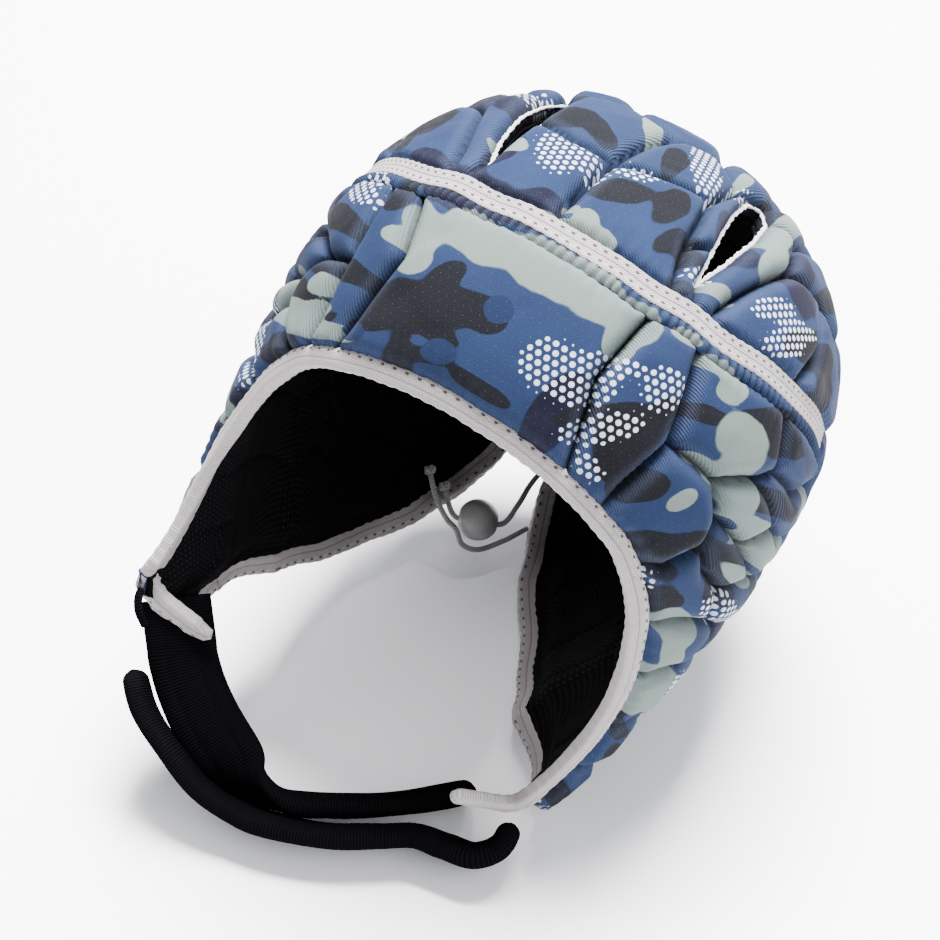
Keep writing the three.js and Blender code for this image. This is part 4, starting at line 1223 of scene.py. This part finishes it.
def cap_work(settings):
    """The panel grids, kept between the pieces that use them."""
    if "panels" not in WORK:
        WORK["pads"], WORK["panels"] = panel_data()
        WORK["rows"] = print_patches(settings.seed)
    return WORK["pads"], WORK["panels"], WORK["rows"]


def piece_name(kind, panel):
    """A piece's name from the panel that it belongs to."""
    return kind + panel.replace("panel_", "").title().replace("_", "")


def build_panels(settings, material):
    """The padded camouflage panels."""
    pads, panels, rows = cap_work(settings)
    for panel, data in panels.items():
        depth, pull_and_highlight, shade = relief(panel, data, settings)
        solid, facing = data["solid"], data["facing"]
        outer = solid - facing * depth[:, None]
        under = np.maximum(wall_under(data["edge"]), depth + THIN_WALL)
        inner = solid - facing * under[:, None]
        points, top, lower, rim = closed_skin(outer, inner, data["faces"])
        every = np.vstack([top, lower, rim])
        pad_of = np.concatenate([data["pad_of_face"], data["pad_of_face"],
                                 np.full(len(rim), data["pad_of_face"][0])])
        faces, kept = tidy_faces(every)
        a, b = print_data(solid, rows)
        form = np.stack([pull_and_highlight, shade, np.zeros(len(pull_and_highlight))], 1)
        owner = np.repeat(pad_of[kept], [len(f) for f in faces])
        corners = np.concatenate([np.array(f) for f in faces])
        both = np.vstack([solid, solid])
        cloth = np.zeros((len(corners), 3))
        for k in np.unique(owner):
            mine = owner == k
            cloth[mine] = pad_cloth(both[corners[mine]], pads[k])
        thing = new_mesh(piece_name("Panel", panel), laid(points), faces, material,
                         {"print_a": np.vstack([a, a]), "print_b": np.vstack([b, b]),
                          "form": np.vstack([form, form])}, {"cloth": cloth})
        keep(thing, "shell_fabric", panel)


def build_linings(settings, material):
    """The black mesh lining inside each panel."""
    _, panels, _ = cap_work(settings)
    for panel, data in panels.items():
        solid, facing = data["solid"], data["facing"]
        under = wall_under(data["edge"])
        bulge = 1.2 * (1 - fillet(data["groove"], 7.0)) * smoothstep(3.0, 12.0, data["edge"])
        first = solid - facing * (under + CLEARANCE)[:, None]
        second = solid - facing * (under + CLEARANCE + LINING + bulge)[:, None]
        points, top, lower, rim = closed_skin(first, second, data["faces"])
        faces, kept = tidy_faces(np.vstack([top, lower, rim]))
        chart = data["chart"] * WALL_UNIT
        cloth = np.concatenate([chart, np.zeros((len(chart), 1))], 1)
        thing = new_mesh(piece_name("Lining", panel), laid(points), faces, material,
                         {"cloth": np.vstack([cloth, cloth])})
        keep(thing, "lining_fabric", panel.replace("panel_", "lining_"))


# ---------------------------------------------------------------- bindings, tape and edges

def edge_path(name, first, last, spacing):
    """Points along an edge in mm as it lies, with places, across and outward."""
    chart = np.array([edge_point(name, p) for p in np.linspace(first, last, 1500)])
    solid = outside(chart)
    along = np.concatenate([[0], np.cumsum(np.linalg.norm(np.diff(solid, axis=0), axis=1))])
    places = np.linspace(0, along[-1], int(along[-1] / spacing))
    chart = np.stack([np.interp(places, along, chart[:, k]) for k in (0, 1)], 1)
    solid, facing = outside(chart), outward(chart)
    ahead = unit(np.gradient(solid, axis=0))
    down = unit(np.cross(facing, ahead))
    for _ in range(3):
        down = unit(np.vstack([down[:1], (down[:-2] + down[1:-1] + down[2:]) / 3, down[-1:]]))
    return solid, facing, down, places


# Row number of the face edge's corner on the wearer's right tip, its depth in mm, and how far
# and by what share the face tape is wider there
TIP_CORNER = -11.7
TIP_DEPTH = 4.5
TIP_REACH = 6.0
TIP_WIDER = 0.5
# Form of the tapes' sections, from 2 for an oval up
BINDING_POWER = 4.5
TAPE_POWER = 6
# Distance in mm over which a binding's ends are rounded
END_REACH = 3.0
PATH_STEP = 0.9
# Distance in mm of the crown tape's rows of stitches from its middle
TAPE_STITCHES = 1.9


def evened(line, reach):
    """A line's rows averaged over their neighbours, with both ends kept."""
    total = np.zeros_like(line)
    for step in range(-reach, reach + 1):
        near = np.clip(np.arange(len(line)) + step, 0, len(line) - 1)
        total += line[near]
    share = np.minimum(np.arange(len(line)), np.arange(len(line))[::-1])[:, None] / reach
    share = np.clip(share, 0, 1)
    return total / (2 * reach + 1) * share + line * (1 - share)


def longer_end(path, places, down, facing, sections, more):
    """A strip carried on straight past its last place, by a length in mm."""
    if more <= 0:
        return path, places, down, facing, sections
    steps = np.arange(PATH_STEP, more, PATH_STEP)
    way = unit(path[-1] - path[-6])
    path = np.vstack([path, path[-1] + steps[:, None] * way])
    places = np.concatenate([places, places[-1] + steps])
    longer = [np.concatenate([part, np.repeat(part[-1:], len(steps), 0)])
              for part in (down, facing, sections)]
    return path, places, *longer


def build_binding(name, node, edge, first, last, more, material, settings):
    """A folded elastic binding round an edge of the cap."""
    solid, facing, down, places = edge_path(edge, first, last, PATH_STEP)
    width = mm(settings.width)
    section = rounded_section(width, mm(settings.thickness), BINDING_POWER, 44)
    top = section[:, 1] > 0
    crease = np.exp(-((section[:, 0] + 0.6) / 0.5) ** 2) * top * 0.22
    crown = (1 - (section[:, 0] / (width / 2)) ** 2) * top * 0.5
    section[:, 1] += crown - crease
    sway = 0.14 * np.sin(places / 0.76) + 0.1 * np.sin(places / 2.9) + 0.12 * np.sin(places / 8.3)
    sections = np.repeat(section[None], len(solid), 0)
    sections[..., 0] += sway[:, None]
    swell = 1 + 0.03 * np.sin(places / 0.8) + 0.04 * np.sin(places / 5.1)
    sections[..., 1] *= swell[:, None]
    path = solid - facing * EDGE_MIDDLE
    # The face tape rounds the corners of the tips, and lies wider over the wearer's right one
    if edge == "face":
        path, down, facing = (evened(line, 8) for line in (path, down, facing))
        down, facing = unit(down), unit(facing)
        at = edge_point("face", TIP_CORNER)
        corner = outside(at) - outward(at) * TIP_DEPTH
        far = np.linalg.norm(path - corner, axis=1)
        sections[..., 0] *= (1 + TIP_WIDER * np.exp(-(far / TIP_REACH) ** 2))[:, None]
    path, places, down, facing, sections = longer_end(path, places, down, facing, sections, more)
    for far in (places - places[0], places[-1] - places):
        share = np.clip(far / END_REACH, 0, 1)
        sections *= np.sqrt(np.clip(1 - 0.9 * (1 - share) ** 2, 0, 1))[:, None, None]
    thing = sweep(name, path, places, down, facing, sections, material)
    lay(thing)
    return keep(thing, "binding_tape", node)


def build_tape(name, node, material, settings):
    """The flat tape over the seam between the forehead and the crown."""
    end = EDGE_ENDS["crown"]
    solid, facing, down, places = edge_path("crown", -end, end, PATH_STEP)
    section = rounded_section(mm(settings.width), mm(settings.tape_thickness), TAPE_POWER, 44)
    top = section[:, 1] > 0
    crease = np.exp(-(section[:, 0] / 0.45) ** 2) * top * 0.22
    pinch = np.exp(-((np.abs(section[:, 0]) - TAPE_STITCHES) / 0.55) ** 2) * top * 0.16
    section[:, 1] -= crease + pinch
    sections = np.repeat(section[None], len(solid), 0)
    sections[..., 0] += (0.1 * np.sin(places / 0.68) + 0.12 * np.sin(places / 6.7))[:, None]
    sections[..., 1] += (0.1 * np.sin(places / 0.64))[:, None] * top
    path = solid - facing * (EDGE_DEPTH - 0.5)
    thing = sweep(name, path, places, down, facing, sections, material)
    lay(thing)
    return keep(thing, "binding_tape", node)


def build_ruffle(material, settings):
    """The gathered seam allowance along the lower side of the crown tape."""
    _, _, rows = cap_work(settings)
    solid, facing, down, places = edge_path("crown", -7.9, 7.9, 0.6)
    count = 20
    share = np.linspace(0, 1, count)
    drift = 1.1 * np.sin(places / 9.0) + 0.8 * np.sin(places / 3.9 + 2.0)
    fold = 0.5 + 0.5 * np.sin(2 * np.pi * places / 3.5 + drift)
    fold = fold ** 0.7
    upper = np.stack([3.2 + 5.4 * share, 2.0 * np.sin(np.pi * share) ** 0.75], 1)
    sections = np.zeros((len(solid), 2 * count, 2))
    sections[:, :count, 0] = upper[:, 0] + 0.5 * (fold[:, None] - 0.5) * share
    sections[:, :count, 1] = (upper[:, 1] * (0.42 + 0.58 * fold[:, None])) - EDGE_DEPTH + 0.25
    sections[:, count:, 0] = sections[:, :count, 0][:, ::-1]
    sections[:, count:, 1] = -EDGE_DEPTH - 0.45
    # The strip lies on the forehead's side of the tape
    sections[..., 0] *= -1

    # Print colours of the ruffle, with painted light and shade over its folds
    def print_and_fold_light(points):
        a, b = print_data(points, rows)
        form = np.zeros((len(points), 3))
        height = np.concatenate([np.tile(np.concatenate([upper[:, 1], np.zeros(count)]),
                                         len(solid)), [0, 0]])
        up = np.concatenate([np.repeat(fold, 2 * count), [0, 0]])
        # Painted highlight on the tops of the raised folds
        form[:, 0] = np.clip(0.9 * up * height / 2, 0, 1)
        # Painted shade in the valleys between the folds, on the underside and along both rims, the
        # outer rim partly standing for the seam's stitch line
        form[:, 1] = np.clip(0.75 * (1 - up) ** 2 + np.exp(-(height / 0.35) ** 2), 0, 1)
        return {"print_a": a, "print_b": b, "form": form,
                "cloth": np.stack([points[:, 0] + points[:, 1], points[:, 2], 0 * points[:, 0]], 1)}

    thing = sweep("TapeGathers", solid, places, down, facing, sections, material, extra=print_and_fold_light)
    lay(thing)
    return keep(thing, "shell_fabric")


def chart_ring(name, chart, depth, width, thickness, material, slot):
    """A thin strip round a closed line of chart points."""
    path = outside(chart) - outward(chart) * depth
    path, places = spline(path, 0.7, closed=True)
    tree = tree_of(outside(chart))
    index, _ = nearest(tree, path)
    across, out = frames_along(path, outward(chart)[index], closed=True)
    section = rounded_section(width, thickness, 2.6, 12)
    ragged = 1 + 0.25 * np.sin(places / 1.1) + 0.2 * np.sin(places / 0.47)
    sections = section[None] * ragged[:, None, None]
    thing = sweep(name, laid(path), places, across @ LEAN.T, out @ LEAN.T, sections, material,
                  closed=True)
    return keep(thing, slot)


def vent_outline(side):
    """Chart points round a crown vent slot."""
    return pad_outline(VENT, CROWN_CORNERS, side, 1.0)[0]


# ---------------------------------------------------------------- straps, laces and toggle

# Size of the strap, and how far its round ends narrow and thin, in mm
STRAP_WIDTH = 25.0
STRAP_THICKNESS = 8.0
CAP_REACH = 9.0
CAP_SOFT = 4.0
# Direction across the runs where they lie on the floor
FLAT_W = (0.24, -0.7, 0.67)

# Rows of x, y, z in mm as the straps lie, then the direction across
INNER_STRAP = [
    (-97.2, -92.3, 52.7, 0.95, 0.32, 0), (-94.8, -96.5, 47.2, 0.95, 0.3, 0.05),
    (-89.5, -102.5, 40, 0.93, 0.34, 0.12), (-81.5, -109, 32, 0.8, 0.5, 0.3),
    (-71.5, -114.5, 23.5, 0.55, 0.5, 0.62), (-62, -118, 15.5, 0.25, -0.1, 0.95),
    (-47, -118, 12) + FLAT_W, (-33.5, -114.5, 11.5) + FLAT_W, (-20.3, -110, 11.5) + FLAT_W,
    (-7.5, -104, 11.5) + FLAT_W, (3.5, -98, 12) + FLAT_W, (13, -92.5, 13) + FLAT_W,
]
OUTER_STRAP = [row + FLAT_W for row in (
    (-110, -106, 46), (-102.5, -115, 36.5), (-90.5, -122, 27.5), (-77, -127, 17),
    (-62, -129, 11.6), (-46.4, -130, 11.5), (-28.4, -128, 11.5), (-12, -122.5, 11.5),
    (-0.5, -118.5, 11.5), (10.8, -119.5, 11.5), (22, -120.5, 12), (29.5, -115.5, 14),
    (31.7, -108.2, 18.5))]


# How far the strap's top reaches up under the wearer's right tip, in mm
STRAP_TUCK = 15.0


def build_strap(name, node, rows, material, settings, seams, caps):
    """One padded run of the chin strap."""
    rows = [tuple(map(float, row)) for row in rows]
    if "start" not in caps:
        first, second = np.array(rows[0]), np.array(rows[1])
        way = unit(first[:3] - second[:3])
        rows.insert(0, tuple(np.append(first[:3] + STRAP_TUCK * way, first[3:])))
    path, places = spline(rows, 0.8)
    centre, across = path[:, :3], unit(path[:, 3:])
    ahead = unit(np.gradient(centre, axis=0))
    across = unit(across - (across * ahead).sum(1, keepdims=True) * ahead)
    out = np.cross(across, ahead)
    if out[:, 2].mean() < 0:
        out = -out
    section = rounded_section(STRAP_WIDTH, STRAP_THICKNESS, settings.roundness, 64)
    top = np.sign(section[:, 1])
    for at in seams:
        dip = np.exp(-((section[:, 0] - at) / 0.7) ** 2) * 0.75 * top
        section[:, 1] -= dip
    sections = np.repeat(section[None], len(places), 0)
    for end, far in (("start", places), ("end", places[-1] - places)):
        if end in caps:
            share = np.clip(far / CAP_REACH, 0.0, 1.0)
            sections[..., 0] *= np.sqrt(np.clip(1 - 0.85 * (1 - share) ** 2.4, 0, 1))[:, None]
            soft = np.clip(far / CAP_SOFT, 0.0, 1.0)
            sections[..., 1] *= np.sqrt(np.clip(1 - 0.95 * (1 - soft) ** 2, 0.02, 1))[:, None]
    lump = 1 + 0.035 * np.sin(places / 5.3) + 0.03 * np.sin(places / 11.9 + 1)
    sections[..., 1] *= lump[:, None]
    points = (centre[:, None] + across[:, None] * sections[..., :1]
              + out[:, None] * sections[..., 1:2]).reshape(-1, 3)
    shift = np.array([SHIFT[0], SHIFT[1], -points[:, 2].min()])
    thing = sweep(name, centre + shift, places, across, out, sections, material)
    keep(thing, "strap_fabric", node)
    return thing


# Path of the small loop in the upright cap, in mm
TAB = [(-79, -66, -109.5), (-77.8, -68, -112), (-75.2, -69, -115.5), (-71.5, -67.5, -119.5)]


def build_tab(material):
    """The small loop of strap tape over the wearer's right tip."""
    path, places = spline(laid(TAB), 0.5)
    hint = np.broadcast_to(LEAN @ np.array([-0.3, -0.9, -0.2]), path.shape)
    across, out = frames_along(path, hint)
    section = rounded_section(3.6, 1.8, 3, 24)
    return keep(sweep("StrapTab", path, places, across, out, section, material), "strap_fabric")


# Paths of the laces and direction of the toggle's bore in the upright cap
LOWER_LACE = [(-28.5, 63, -65), (-21, 60, -72), (-13.5, 60, -77.5), (-8, 59, -79),
              (-3, 60, -83.5), (3, 64, -83.5), (9, 71, -78), (14, 81, -72)]
UPPER_LACE = [(-21, 66.5, -69), (-11.7, 64.3, -76.6), (-3, 67, -74), (5.7, 69.7, -71.4),
              (7, 75, -64), (6.5, 83.5, -57), (7, 89.6, -52.3)]
TOGGLE_AXIS = (0.92, 0.28, 0.27)


def build_lace(name, node, rows, material, settings):
    """One run of the lace, with the knot at its start."""
    centre, places = spline(laid(rows), 0.5)
    ahead = unit(np.gradient(centre, axis=0))
    across = unit(np.cross(ahead, [0.31, 0.2, 0.93]))
    out = unit(np.cross(across, ahead))
    turn = np.linspace(0, 2 * np.pi, 14, endpoint=False)
    radius = mm(settings.lace) / 2
    section = np.stack([np.cos(turn), np.sin(turn)], 1) * radius
    thing = sweep(name, centre, places, across, out, section, material)
    keep(thing, "lace_cord", node)
    # A knot tied in the end
    t = np.linspace(0, 2 * np.pi, 90, endpoint=False)
    knot = np.stack([np.sin(t) + 2 * np.sin(2 * t), np.cos(t) - 2 * np.cos(2 * t),
                     -1.3 * np.sin(3 * t)], 1) * (mm(settings.knot) / 2 - radius) / 3.0
    knot = knot @ np.stack([across[0], out[0], ahead[0]]) + centre[0]
    ring, along = spline(knot, 0.5, closed=True)
    a, o = frames_along(ring, np.broadcast_to(ahead[0] + 0.3 * out[0], ring.shape), closed=True)
    tied = sweep(name + "Knot", ring, along, a, o, section, material, closed=True)
    keep(tied, "lace_cord")
    return thing


def build_toggle(material, settings):
    """The ball that the laces run through."""
    radius, bore = mm(settings.ball) / 2, mm(settings.bore) / 2
    start = math.asin(bore / radius)
    angle = np.linspace(start + 0.06, math.pi - start - 0.06, 60)
    outer = np.stack([radius * np.sin(angle), radius * np.cos(angle)], 1)
    lip = radius * math.cos(start)
    rim = [(bore + 0.12, lip - 0.1), (bore, lip - 0.45)]
    inner = [(bore, h) for h in np.linspace(lip - 0.9, -lip + 0.9, 12)]
    profile = np.vstack([outer, [(r, -h) for r, h in rim], [(r, -h) for r, h in inner],
                         rim[::-1]])
    turns = 72
    turn = np.linspace(0, 2 * np.pi, turns, endpoint=False)
    points = np.stack([np.outer(np.cos(turn), profile[:, 0]), np.outer(np.sin(turn), profile[:, 0]),
                       np.broadcast_to(profile[:, 1], (turns, len(profile)))], -1)
    size = len(profile)
    index = np.arange(turns * size).reshape(turns, size)
    faces = np.stack([index, np.roll(index, -1, 1), np.roll(np.roll(index, -1, 0), -1, 1),
                      np.roll(index, -1, 0)], -1).reshape(-1, 4)
    axis = unit(LEAN @ np.array(TOGGLE_AXIS))
    side = unit(np.cross(axis, [0, 0, 1.0]))
    basis = np.stack([side, np.cross(axis, side), axis])
    flat = points.reshape(-1, 3)
    placed = flat @ basis + box_middle("toggle")
    thing = new_mesh("Toggle", placed, faces[:, ::-1].tolist(), material, {"cloth": flat})
    face = thing.data.polygons[5]
    if np.dot(face.normal, np.array(face.center) * 1000 - box_middle("toggle")) < 0:
        thing.data.flip_normals()
    keep(thing, "toggle_plastic", "toggle")
    # The bar between the two lace holes at each mouth of the bore
    for end in (-1, 1):
        path = np.linspace(-bore - 0.3, bore + 0.3, 16)
        across_bore = unit(np.cross(axis, LEAN @ np.array([0.2, -0.8, 0.5])))
        centre = (box_middle("toggle") + axis * end * (lip - 1.1)
                  + path[:, None] * across_bore)
        a = np.broadcast_to(np.cross(axis, across_bore), centre.shape)
        o = np.broadcast_to(axis * end, centre.shape)
        section = rounded_section(1.5, 1.7, 3, 16)
        bar = sweep("ToggleBar" + ("A" if end < 0 else "B"), centre, path + bore, a, o, section,
                    material, extra=lambda p: {"cloth": p - box_middle("toggle")})
        keep(bar, "toggle_plastic")
    return thing


# ---------------------------------------------------------------- stage

# The camera: focal length and frame in pixels, its axes, its place in mm with the cap as fitted,
# and where the fitted cap was placed
FOCAL = 2500.0
FRAME_SIZE = 940.0
SENSOR = 36.0
CAMERA_RIGHT = (0.9478, 0.3188, -0.0003)
CAMERA_DOWN = (0.213, -0.6342, -0.7432)
CAMERA_AT = (202.66, -632.84, 688.26)
FITTED_SHIFT = (5.49, 12.8, 113.26)
FLOOR_HALF = 6.0
SKY_COLOUR = (0.93, 0.95, 1.0, 1.0)
LIGHTS_LOOK_AT = (0, 0, 0.08)


def build_stage(settings):
    """Pale floor, soft studio light and the camera."""
    mesh = bpy.data.meshes.new("Floor")
    half = FLOOR_HALF
    mesh.from_pydata([(-half, -half, 0), (half, -half, 0), (half, half, 0), (-half, half, 0)],
                     [], [(0, 1, 2, 3)])
    floor = bpy.data.objects.new("Floor", mesh)
    bpy.context.scene.collection.objects.link(floor)
    s = Shader("floor_paper", 0.9, specular=0.1)
    mesh.materials.append(s.finish(settings.floor_colour[:]))
    world = bpy.data.worlds.new("Studio")
    world.use_nodes = True
    world.node_tree.nodes["Background"].inputs[0].default_value = SKY_COLOUR
    world.node_tree.nodes["Background"].inputs[1].default_value = settings.ambient
    bpy.context.scene.world = world
    for name, at, power, spread in (
            ("KeyLight", (0.05, 0.65, 1.8), settings.key, 1.0),
            ("FillLight", (1.3, -0.9, 1.3), settings.fill, 1.4)):
        data = bpy.data.lights.new(name, "AREA")
        data.energy = power
        data.size = spread
        lamp = bpy.data.objects.new(name, data)
        lamp.location = at
        way = Vector(LIGHTS_LOOK_AT) - Vector(at)
        lamp.rotation_euler = way.to_track_quat("-Z", "Y").to_euler()
        bpy.context.scene.collection.objects.link(lamp)
    camera = bpy.data.cameras.new("Camera")
    camera.sensor_width = SENSOR
    camera.lens = FOCAL * SENSOR / FRAME_SIZE
    camera.clip_end = 30.0
    holder = bpy.data.objects.new("Camera", camera)
    right, down = Vector(CAMERA_RIGHT), Vector(CAMERA_DOWN)
    back = right.cross(-down)
    turn = Matrix((right, -down, back)).transposed().to_4x4()
    offset = Vector(CAMERA_AT) - Vector(FITTED_SHIFT)
    turn.translation = (offset + Vector(SHIFT)) * 0.001
    holder.matrix_world = turn
    bpy.context.scene.collection.objects.link(holder)
    bpy.context.scene.camera = holder


# ---------------------------------------------------------------- add-on

class PaddingSettings(bpy.types.PropertyGroup):
    """Form of the padded panels."""
    shoulder: bpy.props.FloatProperty(
        name="Pad shoulder", description="Radius of a pad's rounded edge",
        default=0.0065, unit="LENGTH", precision=5)
    gathers: bpy.props.FloatProperty(
        name="Gathers", description="Height of the gathers beside the tapes",
        default=0.00055, unit="LENGTH", precision=5)
    dot_pitch: bpy.props.FloatProperty(
        name="Dot pitch", description="Distance between the printed dots",
        default=0.0031, unit="LENGTH", precision=5)
    seed: bpy.props.IntProperty(
        name="Print seed", description="Layout of the print beyond the listed patches", default=11)


class TapeSettings(bpy.types.PropertyGroup):
    """Size of the bindings and the crown tape."""
    width: bpy.props.FloatProperty(
        name="Width", description="Width of the tapes",
        default=0.0076, unit="LENGTH", precision=5)
    thickness: bpy.props.FloatProperty(
        name="Binding thickness", description="Thickness of a folded binding",
        default=0.0046, unit="LENGTH", precision=5)
    tape_thickness: bpy.props.FloatProperty(
        name="Tape thickness", description="Thickness of the crown tape",
        default=0.0019, unit="LENGTH", precision=5)


class StrapSettings(bpy.types.PropertyGroup):
    """Form of the chin strap."""
    roundness: bpy.props.FloatProperty(
        name="Roundness", description="Form of the strap's section, 2 for an oval", default=2.7)


class LaceSettings(bpy.types.PropertyGroup):
    """Size of the laces, knots and toggle."""
    lace: bpy.props.FloatProperty(
        name="Lace", description="Thickness of the lace",
        default=0.0022, unit="LENGTH", precision=5)
    knot: bpy.props.FloatProperty(
        name="Knot", description="Width of a knot",
        default=0.0054, unit="LENGTH", precision=5)
    ball: bpy.props.FloatProperty(
        name="Toggle", description="Width of the toggle",
        default=0.0164, unit="LENGTH", precision=5)
    bore: bpy.props.FloatProperty(
        name="Toggle bore", description="Width of the hole through the toggle",
        default=0.0058, unit="LENGTH", precision=5)


class StageSettings(bpy.types.PropertyGroup):
    """Floor and lights."""
    ambient: bpy.props.FloatProperty(
        name="Ambient", description="Strength of the light from all round", default=1.05)
    key: bpy.props.FloatProperty(
        name="Key light", description="Power of the main light",
        default=390.0, unit="POWER")
    fill: bpy.props.FloatProperty(
        name="Fill light", description="Power of the second light",
        default=26.0, unit="POWER")
    floor_colour: bpy.props.FloatVectorProperty(
        name="Floor colour", description="Colour of the floor", subtype="COLOR", size=4,
        min=0.0, max=1.0, default=(0.95, 0.95, 0.965, 1.0))


class SCRUMCAP_OT_panels(bpy.types.Operator):
    """Builds the padded panels, the gathers by the tape, and the vent and ear hole edges"""
    bl_idname = "scrumcap.panels"
    bl_label = "Padded panels"

    def execute(self, context):
        settings = context.scene.scrumcap_padding
        fabric = camouflage_fabric(mm(settings.dot_pitch))
        build_panels(settings, fabric)
        build_ruffle(fabric, settings)
        edge = plain_thread("raw_edge", linear(150, 148, 150), linear(190, 188, 188))
        for side, word in ((1, "Left"), (-1, "Right")):
            chart_ring("VentEdge" + word, vent_outline(side), 6.3, 1.5, 0.9, edge, "shell_fabric")
            for k, (azimuth, level) in enumerate(EAR_HOLES):
                ring = ring_of_hole(azimuth, level, side)
                chart_ring("EarHole%s%d" % (word, k + 1), ring, HOLE_DEPTH, 0.8, 0.7, edge,
                           "shell_fabric")
        return {"FINISHED"}


class SCRUMCAP_OT_linings(bpy.types.Operator):
    """Builds the mesh lining inside each panel"""
    bl_idname = "scrumcap.linings"
    bl_label = "Linings"

    def execute(self, context):
        build_linings(context.scene.scrumcap_padding, lining_mesh())
        return {"FINISHED"}


class SCRUMCAP_OT_bindings(bpy.types.Operator):
    """Builds the bindings of the face and neck edges and the crown tape"""
    bl_idname = "scrumcap.bindings"
    bl_label = "Bindings and tape"

    def execute(self, context):
        settings = context.scene.scrumcap_tape
        bound = tape_fabric("binding_fabric", [2.2], 4.7, -0.6)
        flat = tape_fabric("crown_tape_fabric", [-TAPE_STITCHES, TAPE_STITCHES], 4.0, 0.0)
        build_binding("FaceBinding", "face_binding", "face", -13.0, 13.0, 9.0, bound, settings)
        build_binding("NeckBinding", "neck_binding", "neck", -13.0, 11.7, 0.0, bound, settings)
        build_tape("CrownTape", "crown_tape", flat, settings)
        return {"FINISHED"}


class SCRUMCAP_OT_straps(bpy.types.Operator):
    """Builds the two padded runs of the chin strap"""
    bl_idname = "scrumcap.straps"
    bl_label = "Chin strap"

    def execute(self, context):
        settings = context.scene.scrumcap_strap
        fabric = strap_fabric()
        build_strap("ChinStrapInner", "chin_strap_inner", INNER_STRAP, fabric, settings,
                    (-5.5, 5.5), ("end",))
        build_strap("ChinStrapOuter", "chin_strap_outer", OUTER_STRAP, fabric, settings,
                    (), ("start", "end"))
        build_tab(fabric)
        return {"FINISHED"}


class SCRUMCAP_OT_laces(bpy.types.Operator):
    """Builds the laces with their knots, and the toggle"""
    bl_idname = "scrumcap.laces"
    bl_label = "Laces and toggle"

    def execute(self, context):
        settings = context.scene.scrumcap_lace
        braid = lace_braid()
        build_lace("LaceLower", "lace_lower", LOWER_LACE, braid, settings)
        build_lace("LaceUpper", "lace_upper", UPPER_LACE, braid, settings)
        build_toggle(toggle_plastic(), settings)
        return {"FINISHED"}


class SCRUMCAP_OT_stage(bpy.types.Operator):
    """Builds the floor, the lights and the camera"""
    bl_idname = "scrumcap.stage"
    bl_label = "Stage"

    def execute(self, context):
        build_stage(context.scene.scrumcap_stage)
        return {"FINISHED"}


class SCRUMCAP_PT_panel(bpy.types.Panel):
    """Lists the pieces in the 3D view's sidebar"""
    bl_label = "Scrum cap"
    bl_idname = "SCRUMCAP_PT_panel"
    bl_space_type = "VIEW_3D"
    bl_region_type = "UI"
    bl_category = "Scrum cap"

    def draw(self, context):
        for operator, group in PIECES:
            box = self.layout.box()
            box.operator(operator.bl_idname)
            settings = getattr(context.scene, group)
            for key in settings.__annotations__:
                box.prop(settings, key)


GROUPS = (("scrumcap_padding", PaddingSettings), ("scrumcap_tape", TapeSettings),
          ("scrumcap_strap", StrapSettings), ("scrumcap_lace", LaceSettings),
          ("scrumcap_stage", StageSettings))
PIECES = ((SCRUMCAP_OT_panels, "scrumcap_padding"), (SCRUMCAP_OT_linings, "scrumcap_padding"),
          (SCRUMCAP_OT_bindings, "scrumcap_tape"), (SCRUMCAP_OT_straps, "scrumcap_strap"),
          (SCRUMCAP_OT_laces, "scrumcap_lace"), (SCRUMCAP_OT_stage, "scrumcap_stage"))


def register():
    """Registers the settings, the operators and the panel."""
    for name, group in GROUPS:
        bpy.utils.register_class(group)
        setattr(bpy.types.Scene, name, bpy.props.PointerProperty(type=group))
    for operator, _ in PIECES:
        bpy.utils.register_class(operator)
    bpy.utils.register_class(SCRUMCAP_PT_panel)


def unregister():
    """Takes them away again."""
    bpy.utils.unregister_class(SCRUMCAP_PT_panel)
    for operator, _ in reversed(PIECES):
        bpy.utils.unregister_class(operator)
    for name, group in reversed(GROUPS):
        delattr(bpy.types.Scene, name)
        bpy.utils.unregister_class(group)


def main():
    """Builds every piece in order."""
    register()
    bpy.ops.scrumcap.panels()
    bpy.ops.scrumcap.linings()
    bpy.ops.scrumcap.bindings()
    bpy.ops.scrumcap.straps()
    bpy.ops.scrumcap.laces()
    bpy.ops.scrumcap.stage()
    bpy.context.view_layer.update()


if __name__ == "__main__":
    main()
